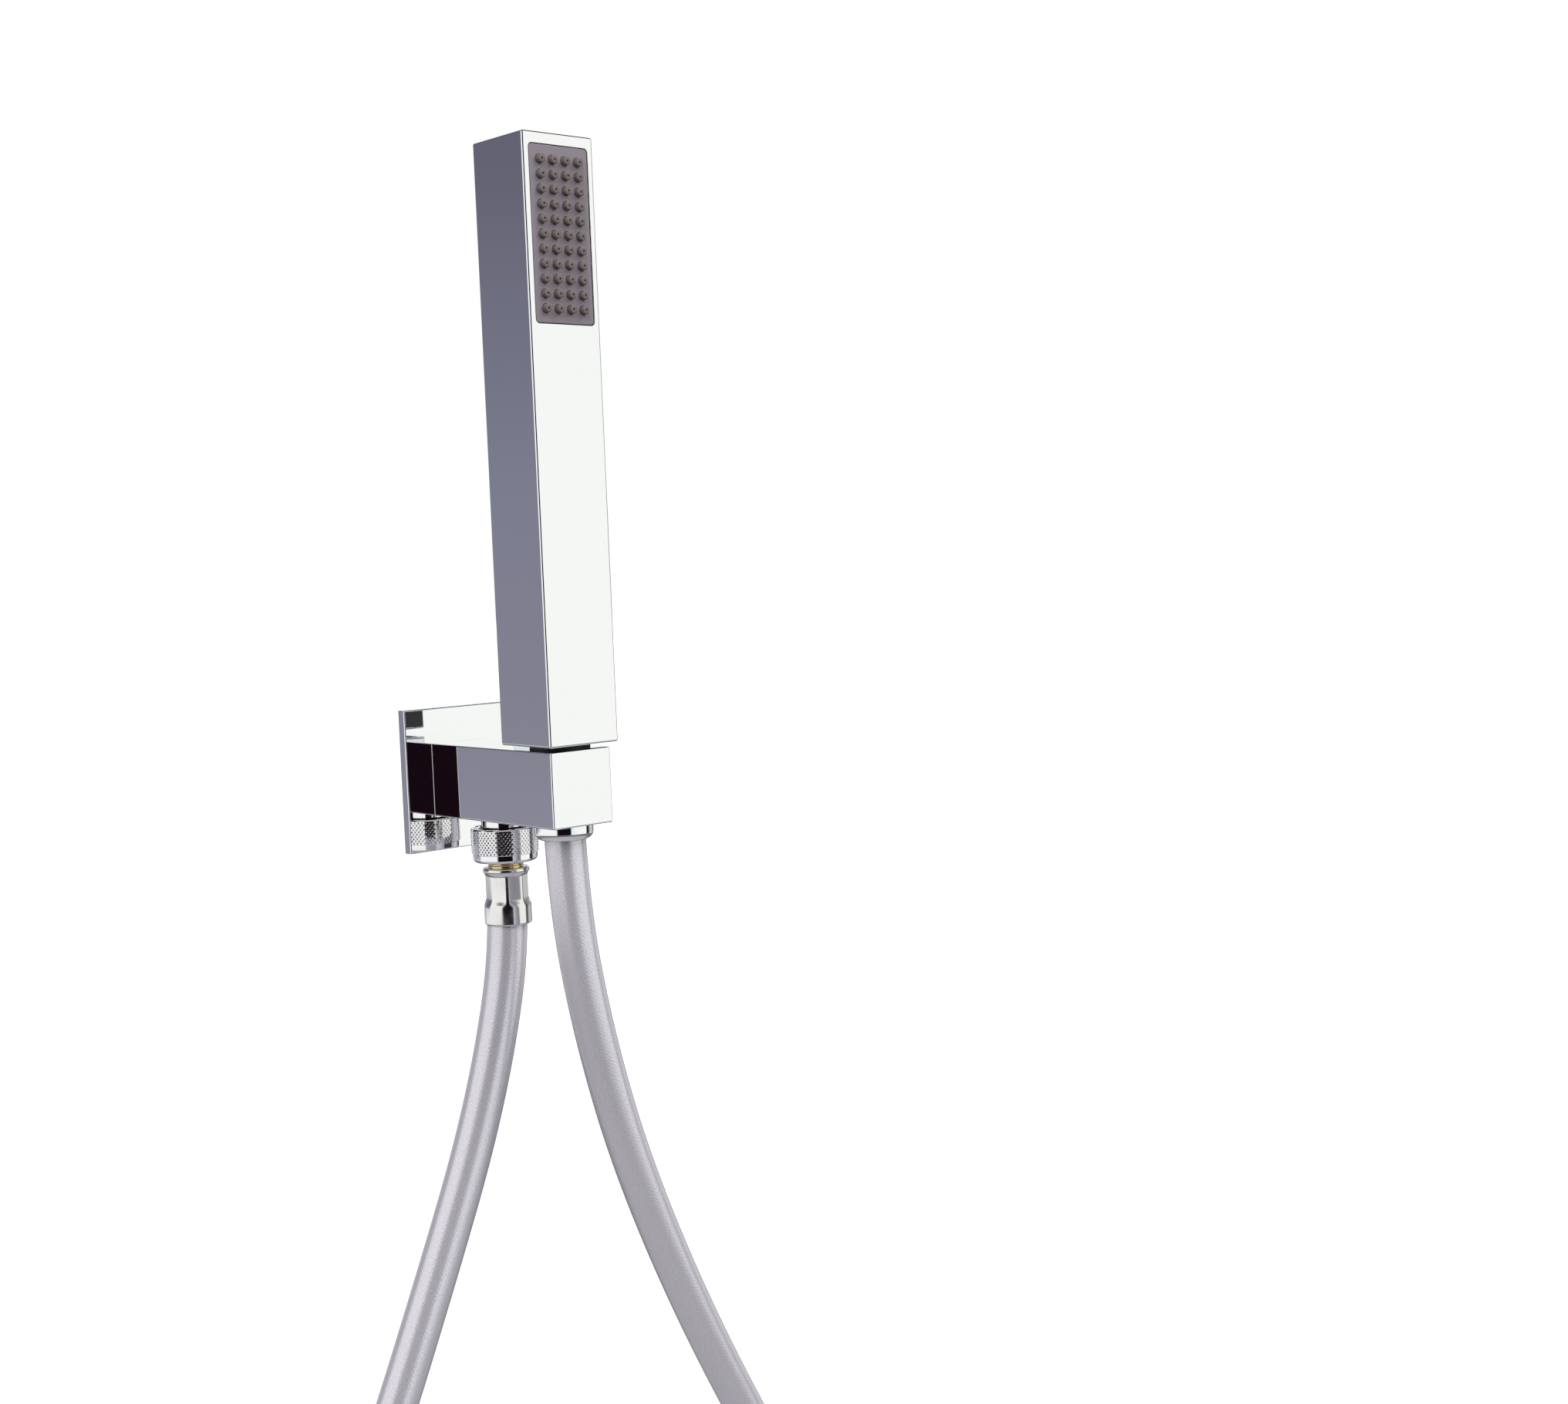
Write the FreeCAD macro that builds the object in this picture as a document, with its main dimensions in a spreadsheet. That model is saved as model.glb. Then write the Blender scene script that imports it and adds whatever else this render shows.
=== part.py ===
import FreeCAD, Part
import math
import os
import Sketcher

# Handheld shower set: a square stick handset parked in a wall bracket that is also its
# water outlet, with the hose that joins the two.  Millimetres.  The origin is the centre
# of the wall plate's back face, on the inlet axis.  +Z is up, +Y points into the wall
# and the set stands out towards -Y.

V = FreeCAD.Vector
NEAR = 1e-4
doc = FreeCAD.newDocument("shower_set")

SIZES = {
    # gaps and edges that many parts share
    "fit": 0.05,
    "close": 0.1,
    "apart": 0.3,
    "past": 1.0,
    "edge": 0.4,
    "chamfer": 0.6,
    # wall plate and its seal
    "plate_wide": 49.0,
    "plate_high": 54.0,
    "plate_deep": 4.0,
    "plate_hole": 12.3,
    "plate_edge": 0.5,
    "seal_out": 2.0,
    "seal_band": 3.0,
    "seal_deep": 1.2,
    # bracket: one block, from the plate to the holder
    "arm_wide": 26.2,
    "arm_high": 27.4,
    "arm_front": 79.9,
    "arm_edge": 0.6,
    "outlet_axis": 30.0,
    "handset_axis": 67.6,
    "waterway": 4.5,
    "cross_bore": 4.2,
    "bore_meet": 6.0,
    "slot_half": 8.0,
    "fit_gap": 0.08,
    # inlet nipple: G 1/2 towards the wall, plain spigot towards the bracket
    "pipe_thread": 10.48,
    "inlet_reach": 15.0,
    "thread_lead": 1.0,
    "inlet_collar": 11.9,
    "collar_front": 3.9,
    "spigot": 7.97,
    "spigot_end": 16.5,
    "spigot_room": 0.5,
    "inlet_bore": 4.0,
    "inlet_key": 9.0,
    "inlet_key_deep": 7.0,
    "ring_at": 12.6,
    "ring_half": 1.0,
    "ring_cord": 0.78,
    "grub_at": 8.4,
    "grub": 1.95,
    "grub_bite": 0.75,
    "grub_groove": 0.8,
    "grub_key": 2.0,
    "grub_key_deep": 2.5,
    # outlet nipple, nut and hose end below the bracket
    "stub": 8.0,
    "neck": 8.4,
    "nipple_top": -5.0,
    "thread_top": -18.6,
    "thread_relief": 0.6,
    "thread_fit": 0.07,
    "nipple_end": -24.5,
    "valve_bore": 6.05,
    "nut_grip": 12.4,
    "nut_waist": 12.0,
    "nut_top": -17.2,
    "nut_step": -26.9,
    "nut_foot": -30.0,
    "nut_skirt": 1.3,
    "nut_round": 1.1,
    "nut_hole": 7.1,
    "washer_deep": 2.0,
    "washer_band": 4.0,
    "flange": 9.6,
    "flange_deep": 1.75,
    "barb_neck": 6.6,
    "barb": 4.72,
    "barb_lead": 0.5,
    "barb_taper": 1.5,
    "barb_short": 5.0,
    "hose_bore": 3.6,
    "ferrule_top": -32.3,
    "ferrule_foot": -53.6,
    "ferrule_in": 7.55,
    "ferrule_cap": 1.1,
    "ferrule_rim": 8.5,
    "ferrule_waist": 7.85,
    "ferrule_swell": 8.75,
    "ferrule_mouth": 8.15,
    "rim_foot": -34.6,
    "waist_top": -36.2,
    "waist_foot": -45.2,
    "swell_top": -47.2,
    "mouth_top": -47.5,
    "mouth_start": -45.8,
    # non-return valve
    "valve_out": 6.0,
    "valve_in": 4.6,
    "valve_top": -8.7,
    "valve_foot": -23.9,
    "seat_deep": 2.3,
    "seat_hole": 3.0,
    "spider": 1.4,
    "spoke": 1.2,
    "poppet": 4.0,
    "poppet_deep": 1.5,
    "stem": 1.1,
    "stem_short": 0.5,
    "hub": 3.0,
    "coil": 2.4,
    "coil_wire": 0.25,
    # swivelling hose end in the handset's cone
    "cone_top": 10.9,
    "cone_low": 10.6,
    "cone_foot": -19.0,
    "cone_lip": 7.8,
    "cone_bore": 8.75,
    "cone_step": 8.0,
    "cone_round": 1.5,
    "cone_floor": 1.5,
    "cone_thread": 10.4,
    "swivel": 6.45,
    "swivel_top": 26.0,
    "swivel_flange": 8.4,
    "swivel_ring_at": 17.0,
    "swivel_ring_half": 0.7,
    "swivel_ring_deep": 1.25,
    "swivel_cord": 0.62,
    "clip": 0.7,
    "clip_out": 7.4,
    "clip_in": 5.7,
    "clip_groove": 5.65,
    "clip_open": 5.0,
    "clip_gap_at": 7.1,
    "thread_end": 24.5,
    "upper_ferrule_foot": -16.5,
    "upper_ferrule_top": 4.3,
    "upper_cap": 0.9,
    "upper_barb_short": 3.0,
    "upper_washer_in": 7.7,
    "upper_washer_out": 9.88,
    "strainer": 7.65,
    "strainer_hole": 0.55,
    "strainer_deep": 0.25,
    "strainer_gap": 0.2,
    "restrictor": 6.4,
    "restrictor_hole": 0.9,
    "restrictor_ring": 2.8,
    "restrictor_deep": 2.8,
    # handset
    "side": 30.0,
    "stick": 212.5,
    "handset_foot": 15.4,
    "handset_edge": 0.8,
    "wall": 1.8,
    "plug_gap": 0.2,
    "base_thread": 10.5,
    "socket_top": 26.5,
    "pocket_wide": 6.5,
    "pocket_top": 29.5,
    "tube_out": 5.0,
    "tube_in": 3.9,
    "tube_foot": 32.0,
    "tube_top": 157.0,
    "tube_seal": 0.5,
    "seal_room": 2.0,
    "base_top": 44.0,
    "face_mid": 193.15,
    "face_wide": 25.2,
    "face_high": 61.3,
    "face_round": 1.5,
    "face_gap": 0.15,
    "face_back": 12.15,
    "face_flange": 1.0,
    "mat_wide": 20.0,
    "mat_high": 56.0,
    "mat_deep": 1.5,
    "mat_room": 0.6,
    "stub_sunk": 0.5,
    "face_seal_wide": 24.4,
    "face_seal_high": 61.0,
    "chamber_back": -8.0,
    "chamber_floor": 2.5,
    "chamber_high": 63.0,
    "chamber_gap": 0.8,
    "boss": 7.2,
    "boss_foot": 150.0,
    "boss_sunk": 0.5,
    "nozzle": 1.65,
    "nozzle_out": 2.0,
    "nozzle_jet": 0.45,
    "column_step": 5.36,
    "row_step": 5.09,
    # hose
    "hose_out": 7.5,
    "hose_in": 4.75,
}
COLUMNS = 4
ROWS = 11
STRAINER_RINGS = [(2.0, 6), (4.2, 12)]
RESTRICTOR_HOLES = 6
COIL_TURNS = 5
COIL_CORNERS = 12
NOZZLE_TAPER = -2

sheet = doc.addObject("Spreadsheet::Sheet", "sizes")
for line, (alias, number) in enumerate(SIZES.items(), start=1):
    sheet.set(f"A{line}", alias)
    sheet.set(f"B{line}", str(number))
    sheet.setAlias(f"B{line}", alias)
doc.recompute()


class Size:
    """A length of the sheet, or a sum worked out from some: its value and its expression."""

    def __init__(self, value, text):
        self.value = value
        self.text = text

    def __add__(self, other):
        other = size(other)
        return Size(self.value + other.value, f"({self.text} + {other.text})")

    def __sub__(self, other):
        other = size(other)
        return Size(self.value - other.value, f"({self.text} - {other.text})")

    def __mul__(self, factor):
        return Size(self.value * factor, f"({self.text} * {factor})")

    def __truediv__(self, divisor):
        return Size(self.value / divisor, f"({self.text} / {divisor})")

    def __neg__(self):
        return Size(-self.value, f"(0 - {self.text})")


def size(what):
    """A Size from an alias of the sheet, a plain number or a Size."""
    if isinstance(what, Size):
        return what
    if isinstance(what, str):
        return Size(SIZES[what], f"sizes.{what}")
    return Size(float(what), str(what))


subparts = []


def named(shape_object, label):
    """Marks a document object as one sub-part, saved under its label."""
    shape_object.Label = label
    subparts.append(shape_object)
    return shape_object


def new_body(label, at_y=None):
    """A PartDesign body, moved along Y to the axis that its sketches are drawn about."""
    body = named(doc.addObject("PartDesign::Body", label), label)
    if at_y is not None:
        body.setExpression("Placement.Base.y", size(at_y).text)
    return body


def new_sketch(body, role, offset=0):
    """A sketch on one of the body's own planes, moved along its normal.

    XY_Plane looks up, so its offset is a height.  XZ_Plane looks towards -Y, so its offset
    is a distance out from the wall."""
    sketch = body.newObject("Sketcher::SketchObject", f"{body.Name}_sketch")
    own = [plane for plane in body.Origin.OriginFeatures if plane.Role == role]
    sketch.AttachmentSupport = [(own[0], "")]
    sketch.MapMode = "FlatFace"
    sketch.setExpression("AttachmentOffset.Base.z", size(offset).text)
    return sketch


def bind(sketch, kind, first, place):
    """One dimension of a sketch, bound to the sheet."""
    row = sketch.addConstraint(Sketcher.Constraint(kind, *first, place.value))
    sketch.setExpression(f"Constraints[{row}]", place.text)


def pin(sketch, shape, end, across, up):
    """Holds one point of a sketch at (across, up) from the sketch's origin."""
    for kind, axis, place in (("DistanceX", -2, size(across)), ("DistanceY", -1, size(up))):
        if abs(place.value) < NEAR:
            sketch.addConstraint(Sketcher.Constraint("PointOnObject", shape, end, axis))
        else:
            bind(sketch, kind, (-1, 1, shape, end), place)


def outline(sketch, points):
    """A closed outline of straight lines through the given (across, up) points."""
    start = sketch.GeometryCount
    count = len(points)
    places = [V(size(across).value, size(up).value, 0) for across, up in points]
    for i in range(count):
        sketch.addGeometry(Part.LineSegment(places[i], places[(i + 1) % count]))
    for i in range(count):
        link = Sketcher.Constraint("Coincident", start + i, 2, start + (i + 1) % count, 1)
        sketch.addConstraint(link)
    for i, (across, up) in enumerate(points):
        pin(sketch, start + i, 1, across, up)


def rectangle(sketch, wide, high, mid_across=0, mid_up=0):
    """A rectangle of the given size about a middle point."""
    left = size(mid_across) - size(wide) / 2
    right = size(mid_across) + size(wide) / 2
    low = size(mid_up) - size(high) / 2
    top = size(mid_up) + size(high) / 2
    outline(sketch, [(left, low), (right, low), (right, top), (left, top)])


def circle(sketch, radius, across=0, up=0):
    """A circle of the given radius about (across, up)."""
    middle = V(size(across).value, size(up).value, 0)
    shape = sketch.addGeometry(Part.Circle(middle, V(0, 0, 1), size(radius).value))
    pin(sketch, shape, 3, across, up)
    bind(sketch, "Radius", (shape,), size(radius))


def hexagon(sketch, flats, across=0, up=0):
    """A regular hexagon, given by the width across its flats."""
    corner = size(flats) / math.sqrt(3)
    points = []
    for i in range(6):
        turn = math.radians(60 * i)
        side = size(across) + corner * round(math.cos(turn), 6)
        points.append((side, size(up) + corner * round(math.sin(turn), 6)))
    outline(sketch, points)


def pad(body, sketch, length, taper=0):
    """Material from the sketch along its normal."""
    feature = body.newObject("PartDesign::Pad", f"{body.Name}_pad")
    feature.Profile = sketch
    feature.setExpression("Length", size(length).text)
    feature.TaperAngle = taper
    sketch.Visibility = False
    doc.recompute()
    return feature


def pocket(body, sketch, length, along=True):
    """A cut from the sketch, along its normal or against it, that has to remove something."""
    before = body.Shape.Volume
    feature = body.newObject("PartDesign::Pocket", f"{body.Name}_pocket")
    feature.Profile = sketch
    feature.setExpression("Length", size(length).text)
    feature.Reversed = along
    sketch.Visibility = False
    doc.recompute()
    if body.Shape.Volume > before - NEAR:
        raise ValueError(f"{feature.Name} cuts nothing")
    return feature


def revolve(body, sketch, kind="Revolution"):
    """The sketch turned once about its own upright axis."""
    feature = body.newObject(f"PartDesign::{kind}", f"{body.Name}_{kind.lower()}")
    feature.Profile = sketch
    feature.ReferenceAxis = (sketch, ["V_Axis"])
    feature.Angle = 360.0
    sketch.Visibility = False
    doc.recompute()
    return feature


def round_edges(body, radius, wanted, kind="Fillet"):
    """Rounds or chamfers the edges of the body's last feature that `wanted` picks."""
    last = body.Tip
    edges = enumerate(last.Shape.Edges, start=1)
    names = [f"Edge{number}" for number, edge in edges if wanted(edge)]
    if not names:
        raise ValueError(f"{body.Name} has no such edge")
    feature = body.newObject(f"PartDesign::{kind}", f"{body.Name}_{kind.lower()}")
    feature.Base = (last, names)
    setting = "Radius" if kind == "Fillet" else "Size"
    feature.setExpression(setting, size(radius).text)
    doc.recompute()
    return feature


def runs_along(edge, axis):
    """Whether an edge is straight and parallel to a unit vector."""
    if not isinstance(edge.Curve, Part.Line):
        return False
    return abs(abs(edge.Curve.Direction.dot(axis)) - 1) < NEAR


def turned(label, points, at_y=None, level=False):
    """A piece turned on a lathe from (radius, height) points about the Z axis.

    A level piece is turned about the Y axis, and its points are (radius, y)."""
    body = new_body(label, at_y)
    sketch = new_sketch(body, "XY_Plane" if level else "XZ_Plane")
    outline(sketch, points)
    revolve(body, sketch)
    return body


def ring(label, radius, cord, across_axis, up=0, level=False):
    """A rubber ring of round section about Z, or about Y where it is level."""
    torus = named(doc.addObject("Part::Torus", label), label)
    torus.setExpression("Radius1", size(radius).text)
    torus.setExpression("Radius2", size(cord).text)
    torus.setExpression("Placement.Base.y", size(across_axis).text)
    torus.setExpression("Placement.Base.z", size(up).text)
    if level:
        torus.Placement.Rotation = FreeCAD.Rotation(V(1, 0, 0), 90)
    return torus


ARC_SHARE = 0.45
MITRED = 1


def rounded_path(points):
    """A wire of straight runs joined by tangent arcs, through the points, and its radii."""
    places = [V(*point) for point in points]
    edges = []
    radii = []
    at = places[0]
    for before, corner, after in zip(places, places[1:], places[2:]):
        back = before - corner
        ahead = after - corner
        shorter = min(back.Length, ahead.Length)
        turn = math.pi - back.getAngle(ahead)
        radius = ARC_SHARE * shorter / math.tan(turn / 2)
        back.normalize()
        ahead.normalize()
        start = corner + back * (ARC_SHARE * shorter)
        end = corner + ahead * (ARC_SHARE * shorter)
        inward = back + ahead
        inward.normalize()
        middle = corner + inward * (radius / math.cos(turn / 2) - radius)
        edges.append(Part.LineSegment(at, start).toShape())
        edges.append(Part.Arc(start, middle, end).toShape())
        radii.append(radius)
        at = end
    edges.append(Part.LineSegment(at, places[-1]).toShape())
    return Part.Wire(edges), radii


outlet_y = -size("outlet_axis")
handset_y = -size("handset_axis")
arm_foot = -size("arm_high") / 2
arm_top = size("arm_high") / 2


# Wall plate: a square-edged cover with a hole for the inlet and a seat for its seal.
def make_wall_plate():
    plate = new_body("wall_plate")
    face = new_sketch(plate, "XZ_Plane")
    rectangle(face, "plate_wide", "plate_high")
    pad(plate, face, "plate_deep")
    front = -SIZES["plate_deep"]
    round_edges(
        plate, "plate_edge", lambda edge: abs(edge.CenterOfMass.y - front) < NEAR, "Chamfer"
    )
    hole = new_sketch(plate, "XZ_Plane")
    circle(hole, "plate_hole")
    pocket(plate, hole, "plate_deep")
    seat = new_sketch(plate, "XZ_Plane")
    seal_outline(seat)
    pocket(plate, seat, "seal_deep")


def seal_outline(sketch):
    """The seal's band, set in from the plate's edge."""
    outer_wide = size("plate_wide") - size("seal_out") * 2
    outer_high = size("plate_high") - size("seal_out") * 2
    rectangle(sketch, outer_wide, outer_high)
    rectangle(sketch, outer_wide - size("seal_band") * 2, outer_high - size("seal_band") * 2)


def make_plate_seal():
    seal = new_body("plate_seal")
    band = new_sketch(seal, "XZ_Plane")
    seal_outline(band)
    pad(seal, band, "seal_deep")


# Bracket: the arm and the holder block in one piece, with the inlet bore at the back,
# the outlet bore below and the tapered socket in front.
def cone_radius(height):
    """The cone's radius at a height, on the straight taper between its two ends."""
    foot = SIZES["cone_foot"]
    share = (size(height).value - foot) / (SIZES["handset_foot"] - foot)
    return size("cone_low") + (size("cone_top") - size("cone_low")) * round(share, 4)


def make_bracket_body():
    bracket = new_body("bracket_body")
    back = new_sketch(bracket, "XZ_Plane", "plate_deep")
    rectangle(back, "arm_wide", "arm_high")
    pad(bracket, back, size("arm_front") - size("plate_deep"))
    behind = -SIZES["plate_deep"]
    round_edges(
        bracket, "arm_edge", lambda edge: abs(edge.CenterOfMass.y - behind) > NEAR
    )

    inlet = new_sketch(bracket, "XZ_Plane", "plate_deep")
    circle(inlet, size("spigot") + "fit")
    pocket(bracket, inlet, size("spigot_end") - "plate_deep" + "spigot_room")
    along = new_sketch(bracket, "XZ_Plane", "plate_deep")
    circle(along, "cross_bore")
    pocket(bracket, along, size("outlet_axis") - "plate_deep" + "bore_meet")

    outlet = new_sketch(bracket, "XY_Plane", arm_foot)
    circle(outlet, size("stub") + "fit", 0, outlet_y)
    pocket(bracket, outlet, size("nipple_top") - arm_foot)
    down = new_sketch(bracket, "XY_Plane", arm_foot)
    circle(down, "waterway", 0, outlet_y)
    pocket(bracket, down, -arm_foot + "bore_meet")

    grub_hole = new_sketch(bracket, "XY_Plane", arm_foot)
    circle(grub_hole, size("grub") + "fit", 0, -size("grub_at"))
    pocket(bracket, grub_hole, -arm_foot - "spigot" + "spigot_room")

    socket = new_sketch(bracket, "XZ_Plane", "handset_axis")
    low = arm_foot - "past"
    high = arm_top + "past"
    outline(
        socket,
        [
            (0, low),
            (cone_radius(low) + size("fit_gap"), low),
            (cone_radius(high) + size("fit_gap"), high),
            (0, high),
        ],
    )
    revolve(bracket, socket, "Groove")
    slot = new_sketch(bracket, "XY_Plane", low)
    reach = size("arm_wide") / 2 + "past"
    outline(
        slot,
        [
            (0, handset_y - size("slot_half")),
            (reach, handset_y - size("slot_half")),
            (reach, handset_y + size("slot_half")),
            (0, handset_y + size("slot_half")),
        ],
    )
    pocket(bracket, slot, high - low)


# Inlet: a nipple screwed into the wall, and the ring and grub screw that hold the
# bracket's bore on its spigot.
def make_inlet():
    groove_deep = size("spigot") - size("ring_cord") * 2
    grub_deep = size("spigot") - "grub_groove"
    grub_front = -size("grub_at") - "grub" - "close"
    grub_back = -size("grub_at") + "grub" + "close"
    nipple = turned(
        "inlet_nipple",
        [
            ("inlet_bore", -size("spigot_end")),
            (size("spigot") - "chamfer", -size("spigot_end")),
            ("spigot", -size("spigot_end") + "chamfer"),
            ("spigot", -size("ring_at") - "ring_half"),
            (groove_deep, -size("ring_at") - "ring_half"),
            (groove_deep, -size("ring_at") + "ring_half"),
            ("spigot", -size("ring_at") + "ring_half"),
            ("spigot", grub_front - "grub_groove"),
            (grub_deep, grub_front),
            (grub_deep, grub_back),
            ("spigot", grub_back + "grub_groove"),
            ("spigot", -size("collar_front")),
            ("inlet_collar", -size("collar_front")),
            ("inlet_collar", -size("seal_deep")),
            ("pipe_thread", -size("seal_deep")),
            ("pipe_thread", size("inlet_reach") - "thread_lead"),
            (size("pipe_thread") - "thread_lead", "inlet_reach"),
            ("inlet_bore", "inlet_reach"),
        ],
        level=True,
    )
    key = new_sketch(nipple, "XZ_Plane", "spigot_end")
    hexagon(key, "inlet_key")
    pocket(nipple, key, "inlet_key_deep", along=False)

    ring_mid = size("spigot") - "ring_cord"
    ring("inlet_o_ring", ring_mid, "ring_cord", -size("ring_at"), level=True)

    screw = new_body("grub_screw", -size("grub_at"))
    head = arm_foot + "apart"
    foot = new_sketch(screw, "XY_Plane", head)
    circle(foot, "grub")
    pad(screw, foot, -size("spigot") + "grub_bite" - head)
    socket = new_sketch(screw, "XY_Plane", head)
    hexagon(socket, "grub_key")
    pocket(screw, socket, "grub_key_deep")


# Outlet: a threaded nipple under the arm, the knurled nut that turns on it, and the
# washer and barbed stem that the nut holds.
def make_outlet():
    bore_top = size("valve_top") + "close"
    thread_root = size("pipe_thread") - "thread_relief"
    turned(
        "outlet_nipple",
        [
            ("waterway", "nipple_top"),
            ("stub", "nipple_top"),
            ("stub", arm_foot),
            ("neck", arm_foot),
            ("neck", "thread_top"),
            (thread_root, "thread_top"),
            ("pipe_thread", size("thread_top") - "thread_relief"),
            ("pipe_thread", size("nipple_end") + "thread_relief"),
            (thread_root, "nipple_end"),
            ("valve_bore", "nipple_end"),
            ("valve_bore", bore_top),
            ("waterway", bore_top),
        ],
        outlet_y,
    )
    washer_foot = size("nipple_end") - "washer_deep"
    flange_foot = washer_foot - "flange_deep"
    thread_bore = size("pipe_thread") + "thread_fit"
    thread_start = size("thread_top") - "apart"
    skirt_bore = size("nut_grip") - "nut_skirt"
    floor = flange_foot - "close"
    turned(
        "outlet_nut",
        [
            (skirt_bore, "nut_top"),
            (size("nut_grip") - "edge", "nut_top"),
            ("nut_grip", size("nut_top") - "edge"),
            ("nut_grip", "nut_step"),
            ("nut_waist", size("nut_step") - size("edge") / 2),
            ("nut_waist", size("nut_foot") + "nut_round"),
            (size("nut_waist") - "edge", size("nut_foot") + "edge"),
            (size("nut_waist") - "nut_round", "nut_foot"),
            ("nut_hole", "nut_foot"),
            ("nut_hole", floor),
            (thread_bore, floor),
            (thread_bore, thread_start),
            (skirt_bore, thread_start),
        ],
        outlet_y,
    )
    turned(
        "lower_washer",
        [
            (size("flange") - "washer_band", washer_foot),
            ("flange", washer_foot),
            ("flange", "nipple_end"),
            (size("flange") - "washer_band", "nipple_end"),
        ],
        outlet_y,
    )
    barb_end = size("ferrule_foot") + "barb_short"
    turned(
        "lower_barb",
        [
            ("hose_bore", washer_foot),
            ("flange", washer_foot),
            ("flange", flange_foot),
            ("barb_neck", flange_foot),
            ("barb_neck", "ferrule_top"),
            ("barb", "ferrule_top"),
            ("barb", barb_end + "barb_taper"),
            (size("barb") - "barb_lead", barb_end),
            ("hose_bore", barb_end),
        ],
        outlet_y,
    )
    cap_foot = size("ferrule_top") - "ferrule_cap"
    turned(
        "lower_ferrule",
        [
            (size("barb") + "fit", "ferrule_top"),
            (size("ferrule_rim") - "chamfer" - "edge", "ferrule_top"),
            (size("ferrule_rim") - size("edge") / 2, size("ferrule_top") - "edge"),
            ("ferrule_rim", cap_foot),
            ("ferrule_rim", "rim_foot"),
            ("ferrule_waist", "waist_top"),
            ("ferrule_waist", "waist_foot"),
            ("ferrule_swell", "swell_top"),
            ("ferrule_swell", size("ferrule_foot") + "edge"),
            (size("ferrule_swell") - "edge", "ferrule_foot"),
            ("ferrule_mouth", "ferrule_foot"),
            ("ferrule_mouth", "mouth_top"),
            ("ferrule_in", "mouth_start"),
            ("ferrule_in", cap_foot),
            (size("barb") + "fit", cap_foot),
        ],
        outlet_y,
    )


# Non-return valve in the outlet nipple: a cage, a poppet that shuts upwards and its spring.
def make_valve():
    seat_foot = size("valve_top") - "seat_deep"
    across = (size("valve_in") + "apart") * 2
    cage = turned(
        "valve_cage",
        [
            ("seat_hole", "valve_top"),
            ("valve_out", "valve_top"),
            ("valve_out", "valve_foot"),
            ("valve_in", "valve_foot"),
            ("valve_in", seat_foot),
            ("seat_hole", seat_foot),
        ],
        outlet_y,
    )
    spokes = new_sketch(cage, "XY_Plane", "valve_foot")
    rectangle(spokes, across, "spoke")
    pad(cage, spokes, "spider")
    crossing = new_sketch(cage, "XY_Plane", "valve_foot")
    rectangle(crossing, "spoke", across)
    pad(cage, crossing, "spider")
    boss = new_sketch(cage, "XY_Plane", "valve_foot")
    circle(boss, "hub")
    pad(cage, boss, "spider")
    guide = new_sketch(cage, "XY_Plane", "valve_foot")
    circle(guide, size("stem") + "fit_gap")
    pocket(cage, guide, "spider")

    disc_top = seat_foot - "fit"
    disc_foot = disc_top - "poppet_deep"
    stem_end = size("valve_foot") + "stem_short"
    turned(
        "valve_poppet",
        [
            (0, disc_top),
            ("poppet", disc_top),
            ("poppet", disc_foot),
            ("stem", disc_foot),
            ("stem", stem_end),
            (0, stem_end),
        ],
        outlet_y,
    )
    make_spring(size("valve_foot") + "spider" + "coil_wire", disc_foot - "coil_wire")


def make_spring(low, high):
    """An open coil between the two heights of its centre line, in short straight pieces."""
    steps = COIL_TURNS * COIL_CORNERS
    rise = (high.value - low.value) / steps
    coil = SIZES["coil"]
    points = []
    for i in range(steps + 1):
        turn = 2 * math.pi * i / COIL_CORNERS
        points.append(V(coil * math.cos(turn), coil * math.sin(turn), rise * i))
    wire = Part.makeCircle(SIZES["coil_wire"], points[0], points[1] - points[0])
    sweep = Part.BRepOffsetAPI.MakePipeShell(Part.makePolygon(points))
    sweep.setFrenetMode(True)
    sweep.setTransitionMode(MITRED)
    sweep.add(Part.Wire([wire]))
    sweep.build()
    sweep.makeSolid()
    spring = named(doc.addObject("Part::Feature", "valve_spring"), "valve_spring")
    spring.Shape = sweep.shape()
    spring.Placement.Base = V(0, outlet_y.value, low.value)


# Hose cone: the tapered sleeve that stands in the socket and screws into the handset,
# with the hose's swivelling end inside it.
def make_hose_cone():
    foot = size("cone_foot")
    cone = turned(
        "hose_cone",
        [
            ("cone_lip", foot),
            ("cone_low", foot),
            ("cone_top", "handset_foot"),
            ("cone_thread", "handset_foot"),
            ("cone_thread", size("thread_end") - "thread_lead"),
            (size("cone_thread") - "thread_lead", "thread_end"),
            (size("swivel") + "thread_fit", "thread_end"),
            (size("swivel") + "thread_fit", "cone_step"),
            ("cone_bore", "cone_step"),
            ("cone_bore", foot + "cone_floor"),
            ("cone_lip", foot + "cone_floor"),
        ],
        handset_y,
    )
    low = SIZES["cone_foot"]
    rim = SIZES["cone_low"]

    def outer_foot(edge):
        box = edge.BoundBox
        at_foot = abs(box.ZMin - low) < NEAR and abs(box.ZMax - low) < NEAR
        return at_foot and abs(box.XMax - rim) < NEAR

    round_edges(cone, "cone_round", outer_foot)


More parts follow.
